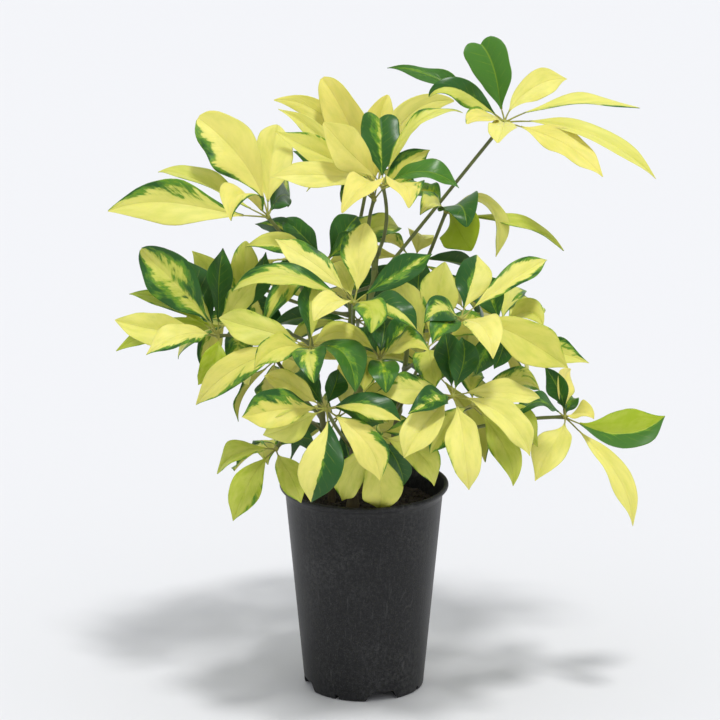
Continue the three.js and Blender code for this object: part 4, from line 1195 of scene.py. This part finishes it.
def turned(name, profile, sides):
    """A closed mesh from a profile that starts and ends on the axis."""
    inner = profile[1:-1]
    angles = np.arange(sides) * 2 * math.pi / sides
    rings = [np.column_stack([r * np.cos(angles), r * np.sin(angles), np.full(sides, z)]) for r, z in inner]
    points = np.concatenate(rings + [np.array([[0, 0, profile[0][1]], [0, 0, profile[-1][1]]])])
    index = np.arange(len(inner) * sides).reshape(len(inner), sides)
    after = np.roll(index, -1, axis=1)
    faces = grid_faces(index[:-1], index[1:]).tolist()
    low, high = len(points) - 2, len(points) - 1
    faces += [(low, b, a) for a, b in zip(index[0], after[0])]
    faces += [(a, b, high) for a, b in zip(index[-1], after[-1])]
    return mesh_object(name, points, faces)


def cut_out(size, quarter):
    """A channel with slanted ends and round upper corners that runs in from the bottom edge."""
    width, top_width, height, depth, azimuth = size
    slant = (width - top_width) / 2
    corner = min(CUT_CORNER, top_width / 3)
    lean = math.atan2(height, slant)
    outline = [(-width / 2 - slant, -height), (width / 2 + slant, -height)]
    for side in (1, -1):
        centre = (side * (top_width / 2 - corner * math.tan(lean / 2)), height - corner)
        turns = np.linspace(math.pi / 2 - lean, math.pi / 2, 4)[::side]
        outline += [(centre[0] + side * corner * math.cos(a), centre[1] + corner * math.sin(a))
                    for a in turns]
    radius = bpy.context.scene.umbrella_pot.base_radius
    turn = math.radians(azimuth + 90 * quarter)
    points = [(x * math.cos(turn) - y * math.sin(turn), x * math.sin(turn) + y * math.cos(turn), z)
              for y in (-radius - depth, -radius + depth) for x, z in outline]
    count = len(outline)
    faces = [tuple(range(count)), tuple(range(2 * count - 1, count - 1, -1))]
    faces += [(k, count + k, count + (k + 1) % count, (k + 1) % count) for k in range(count)]
    return mesh_object("cut", points, faces)


class UMBRELLA_OT_pot(bpy.types.Operator):
    """Build the pot: tapered wall, rolled lip, flat base and cut-outs in the bottom edge"""
    bl_idname = "umbrella.pot"
    bl_label = "Pot"

    def execute(self, context):
        sizes = context.scene.umbrella_pot
        pot = turned("pot_body", pot_profile(), sizes.sides)
        cuts = [cut_out(size, quarter) for quarter in range(4) for size in (WIDE_CUT, NARROW_CUT)]
        for cut in cuts:
            modifier = pot.modifiers.new("cut_out", "BOOLEAN")
            modifier.operation = "DIFFERENCE"
            modifier.solver = "EXACT"
            modifier.object = cut
        pot = plain_mesh(pot, "pot_wall")
        for cut in cuts:
            bpy.data.objects.remove(cut)
        dress(pot, bpy.data.materials["worn_black_plastic"])
        pot.data.set_sharp_from_angle(angle=SHARP_EDGE)
        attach(pot, "root")
        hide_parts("pot")
        return {"FINISHED"}


def crumbs_tree():
    """Crumbs scattered over the upward faces: small uneven stones of mixed size."""
    sheet, given = new_group("crumbs", "GeometryNodeTree", {
        "Geometry": "Geometry", "Density": "Float", "Radius": "Float", "Seed": "Int",
        "Material": "Material"}, {"Geometry": "Geometry"})
    rise = sheet.values("ShaderNodeSeparateXYZ", {0: sheet.value("GeometryNodeInputNormal")})[2]
    upward = sheet.value("FunctionNodeCompare", {0: rise, 1: UPWARD}, operation="GREATER_THAN")
    spread = sheet.value("GeometryNodeDistributePointsOnFaces", {
        "Mesh": given["Geometry"], "Selection": upward, "Density": given["Density"], "Seed": given["Seed"]})
    stone = sheet.value("GeometryNodeMeshIcoSphere", {"Radius": given["Radius"], "Subdivisions": 1})
    turn, size = (
        sheet.value("FunctionNodeRandomValue", {0: least, 1: most, "Seed": seed}, data_type="FLOAT_VECTOR")
        for least, most, seed in (((0.0, 0.0, 0.0), CRUMB_TURN, CRUMB_TURN_SEED),
                                  (CRUMB_LEAST, CRUMB_MOST, CRUMB_SIZE_SEED)))
    placed = sheet.value("GeometryNodeInstanceOnPoints", {
        "Points": spread, "Instance": stone, "Rotation": turn, "Scale": size})
    finish_tree(sheet, placed, given["Material"])


class UMBRELLA_OT_soil(bpy.types.Operator):
    """Build the soil: an uneven top, and crumbs lying on it"""
    bl_idname = "umbrella.soil"
    bl_label = "Soil"

    def execute(self, context):
        sizes, pot = context.scene.umbrella_soil, context.scene.umbrella_pot
        floor, top_radius = pot.floor + SOIL_GAP, SOIL_HIGH.x
        profile = [(0.0, floor), (pot.base_radius - pot.wall - SOIL_GAP, floor),
                   (top_radius, SOIL_TOP - SOIL_EDGE_DROP)]
        profile += [(top_radius * s, SOIL_TOP) for s in np.linspace(*SOIL_RING_SHARES, SOIL_RINGS)]
        soil = turned("soil_body", profile + [(0.0, SOIL_TOP)], SOIL_SIDES)
        lumps = bpy.data.textures.new("soil_lumps", "CLOUDS")
        lumps.noise_scale = LUMP_SIZE
        lumps.noise_depth = LUMP_DETAIL
        raised = soil.vertex_groups.new(name="top")
        raised.add([v.index for v in soil.data.vertices if v.co.z > SOIL_TOP - SOIL_EDGE_DROP / 2],
                   1.0, "REPLACE")
        modifier = soil.modifiers.new("lumps", "DISPLACE")
        modifier.texture = lumps
        modifier.vertex_group = "top"
        modifier.direction = "Z"
        modifier.strength = 2 * sizes.roughness
        modifier.mid_level = LUMP_MIDDLE
        soil = plain_mesh(soil, "soil_fill")
        material = bpy.data.materials["damp_compost"]
        dress(soil, material)
        crumbs = link(bpy.data.objects.new("crumb_bed", soil.data.copy()))
        crumbs_tree()
        add_tree(crumbs, "crumbs", {
            "Density": float(sizes.crumbs), "Radius": sizes.crumb, "Seed": CRUMB_SEED, "Material": material})
        crumbs = plain_mesh(crumbs, "soil_crumbs")
        for piece in (soil, crumbs):
            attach(piece, "root")
        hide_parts("soil")
        return {"FINISHED"}


class UMBRELLA_OT_stems(bpy.types.Operator):
    """Build the stems and the leaves' stalks"""
    bl_idname = "umbrella.stems"
    bl_label = "Stems and stalks"

    def execute(self, context):
        tapered_tube_tree()
        bark, stalk = bpy.data.materials["rough_bark"], bpy.data.materials["leaf_stalk"]
        for name in STEMS:
            short = name.replace("leafy_", "")
            stem = tubes(short, [stem_line(name)], *STEM_TUBE, bark)
            lines = [stalk_line(leaf) for leaf in leaves_of(name)]
            stalks = tubes(short.replace("stem", "stalks"), lines, *STALK_TUBE, stalk)
            for piece in (stem, stalks):
                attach(piece, "root")
                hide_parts(name)
        return {"FINISHED"}


class UMBRELLA_OT_leaves(bpy.types.Operator):
    """Build the leaves, each a ring of leaflets on a hub"""
    bl_idname = "umbrella.leaves"
    bl_label = "Leaves"

    def execute(self, context):
        for number, (name, leaf) in enumerate(ALL_LEAVES.items(), 1):
            piece = build_leaf(name, leaf, number)
            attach(piece, "root")
            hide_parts(leaf.stem)
        return {"FINISHED"}


class UMBRELLA_OT_materials(bpy.types.Operator):
    """Build the materials and the effects that they share"""
    bl_idname = "umbrella.materials"
    bl_label = "Materials"

    def execute(self, context):
        sizes = context.scene.umbrella_leaves
        leaf_marks_group()
        grime_group()
        leaf_material("leaf_upper", wax=0.30, brightness=1.0)
        leaf_material("leaf_under", wax=0.50, brightness=0.82)
        stalk_material("leaf_stalk", sizes.stalk_colour)
        stalk_material("leaflet_stalk", sizes.neck_colour)
        bark_material()
        pot_material()
        soil_material()
        return {"FINISHED"}


class UMBRELLA_OT_stage(bpy.types.Operator):
    """Build the pale floor, the lights and the camera"""
    bl_idname = "umbrella.stage"
    bl_label = "Stage"

    def execute(self, context):
        sizes = context.scene.umbrella_stage
        scene = context.scene
        corners = [(FLOOR_HALF * x, FLOOR_HALF * y, 0) for x, y in ((-1, -1), (1, -1), (1, 1), (-1, 1))]
        floor = mesh_object("floor", corners, [(0, 1, 2, 3)])
        new_material("floor").surface({"Base Color": rgba(sizes.floor), "Roughness": 0.6})
        floor.data.materials.append(bpy.data.materials["floor"])

        world = bpy.data.worlds.new("studio")
        world.use_nodes = True
        background = world.node_tree.nodes["Background"]
        background.inputs[0].default_value = SKY_COLOUR
        background.inputs[1].default_value = sizes.sky
        scene.world = world

        sun = bpy.data.lights.new("key", "SUN")
        sun.energy = sizes.sun
        sun.angle = sizes.softness
        lamp = link(bpy.data.objects.new("key", sun))
        lamp.rotation_euler = Vector(KEY_DIRECTION).to_track_quat("-Z", "Y").to_euler()

        camera = bpy.data.cameras.new("camera")
        camera.lens = LENS
        camera.sensor_width = SENSOR
        camera.clip_end = FARTHEST
        viewer = link(bpy.data.objects.new("camera", camera))
        viewer.location = EYE * MM
        viewer.rotation_euler = TOWARDS.to_track_quat("-Z", "Y").to_euler()
        scene.camera = viewer
        scene.view_settings.view_transform = "Standard"
        return {"FINISHED"}


class UMBRELLA_PT_panel(bpy.types.Panel):
    """Sizes, colours and steps of the umbrella plant"""
    bl_idname = "UMBRELLA_PT_panel"
    bl_label = "Umbrella plant"
    bl_space_type = "VIEW_3D"
    bl_region_type = "UI"
    bl_category = "Umbrella plant"

    def draw(self, context):
        for title, group, kind in GROUPS:
            box = self.layout.box()
            box.label(text=title)
            for name in kind.__annotations__:
                box.prop(getattr(context.scene, group), name)
        for operator in OPERATORS:
            self.layout.operator(operator.bl_idname)


GROUPS = (
    ("Pot", "umbrella_pot", PotSizes),
    ("Soil", "umbrella_soil", SoilSizes),
    ("Leaves", "umbrella_leaves", LeafSizes),
    ("Stage", "umbrella_stage", StageSizes),
)
OPERATORS = (
    UMBRELLA_OT_materials, UMBRELLA_OT_stage, UMBRELLA_OT_pot, UMBRELLA_OT_soil, UMBRELLA_OT_stems,
    UMBRELLA_OT_leaves,
)


def register():
    for _, group, kind in GROUPS:
        bpy.utils.register_class(kind)
        setattr(bpy.types.Scene, group, PointerProperty(type=kind))
    for kind in (*OPERATORS, UMBRELLA_PT_panel):
        bpy.utils.register_class(kind)


def unregister():
    for kind in reversed((*OPERATORS, UMBRELLA_PT_panel)):
        bpy.utils.unregister_class(kind)
    for _, group, kind in reversed(GROUPS):
        delattr(bpy.types.Scene, group)
        bpy.utils.unregister_class(kind)


def main():
    register()
    bpy.ops.umbrella.materials()
    bpy.ops.umbrella.stage()
    bpy.ops.umbrella.pot()
    bpy.ops.umbrella.soil()
    bpy.ops.umbrella.stems()
    bpy.ops.umbrella.leaves()


if __name__ == "__main__":
    main()
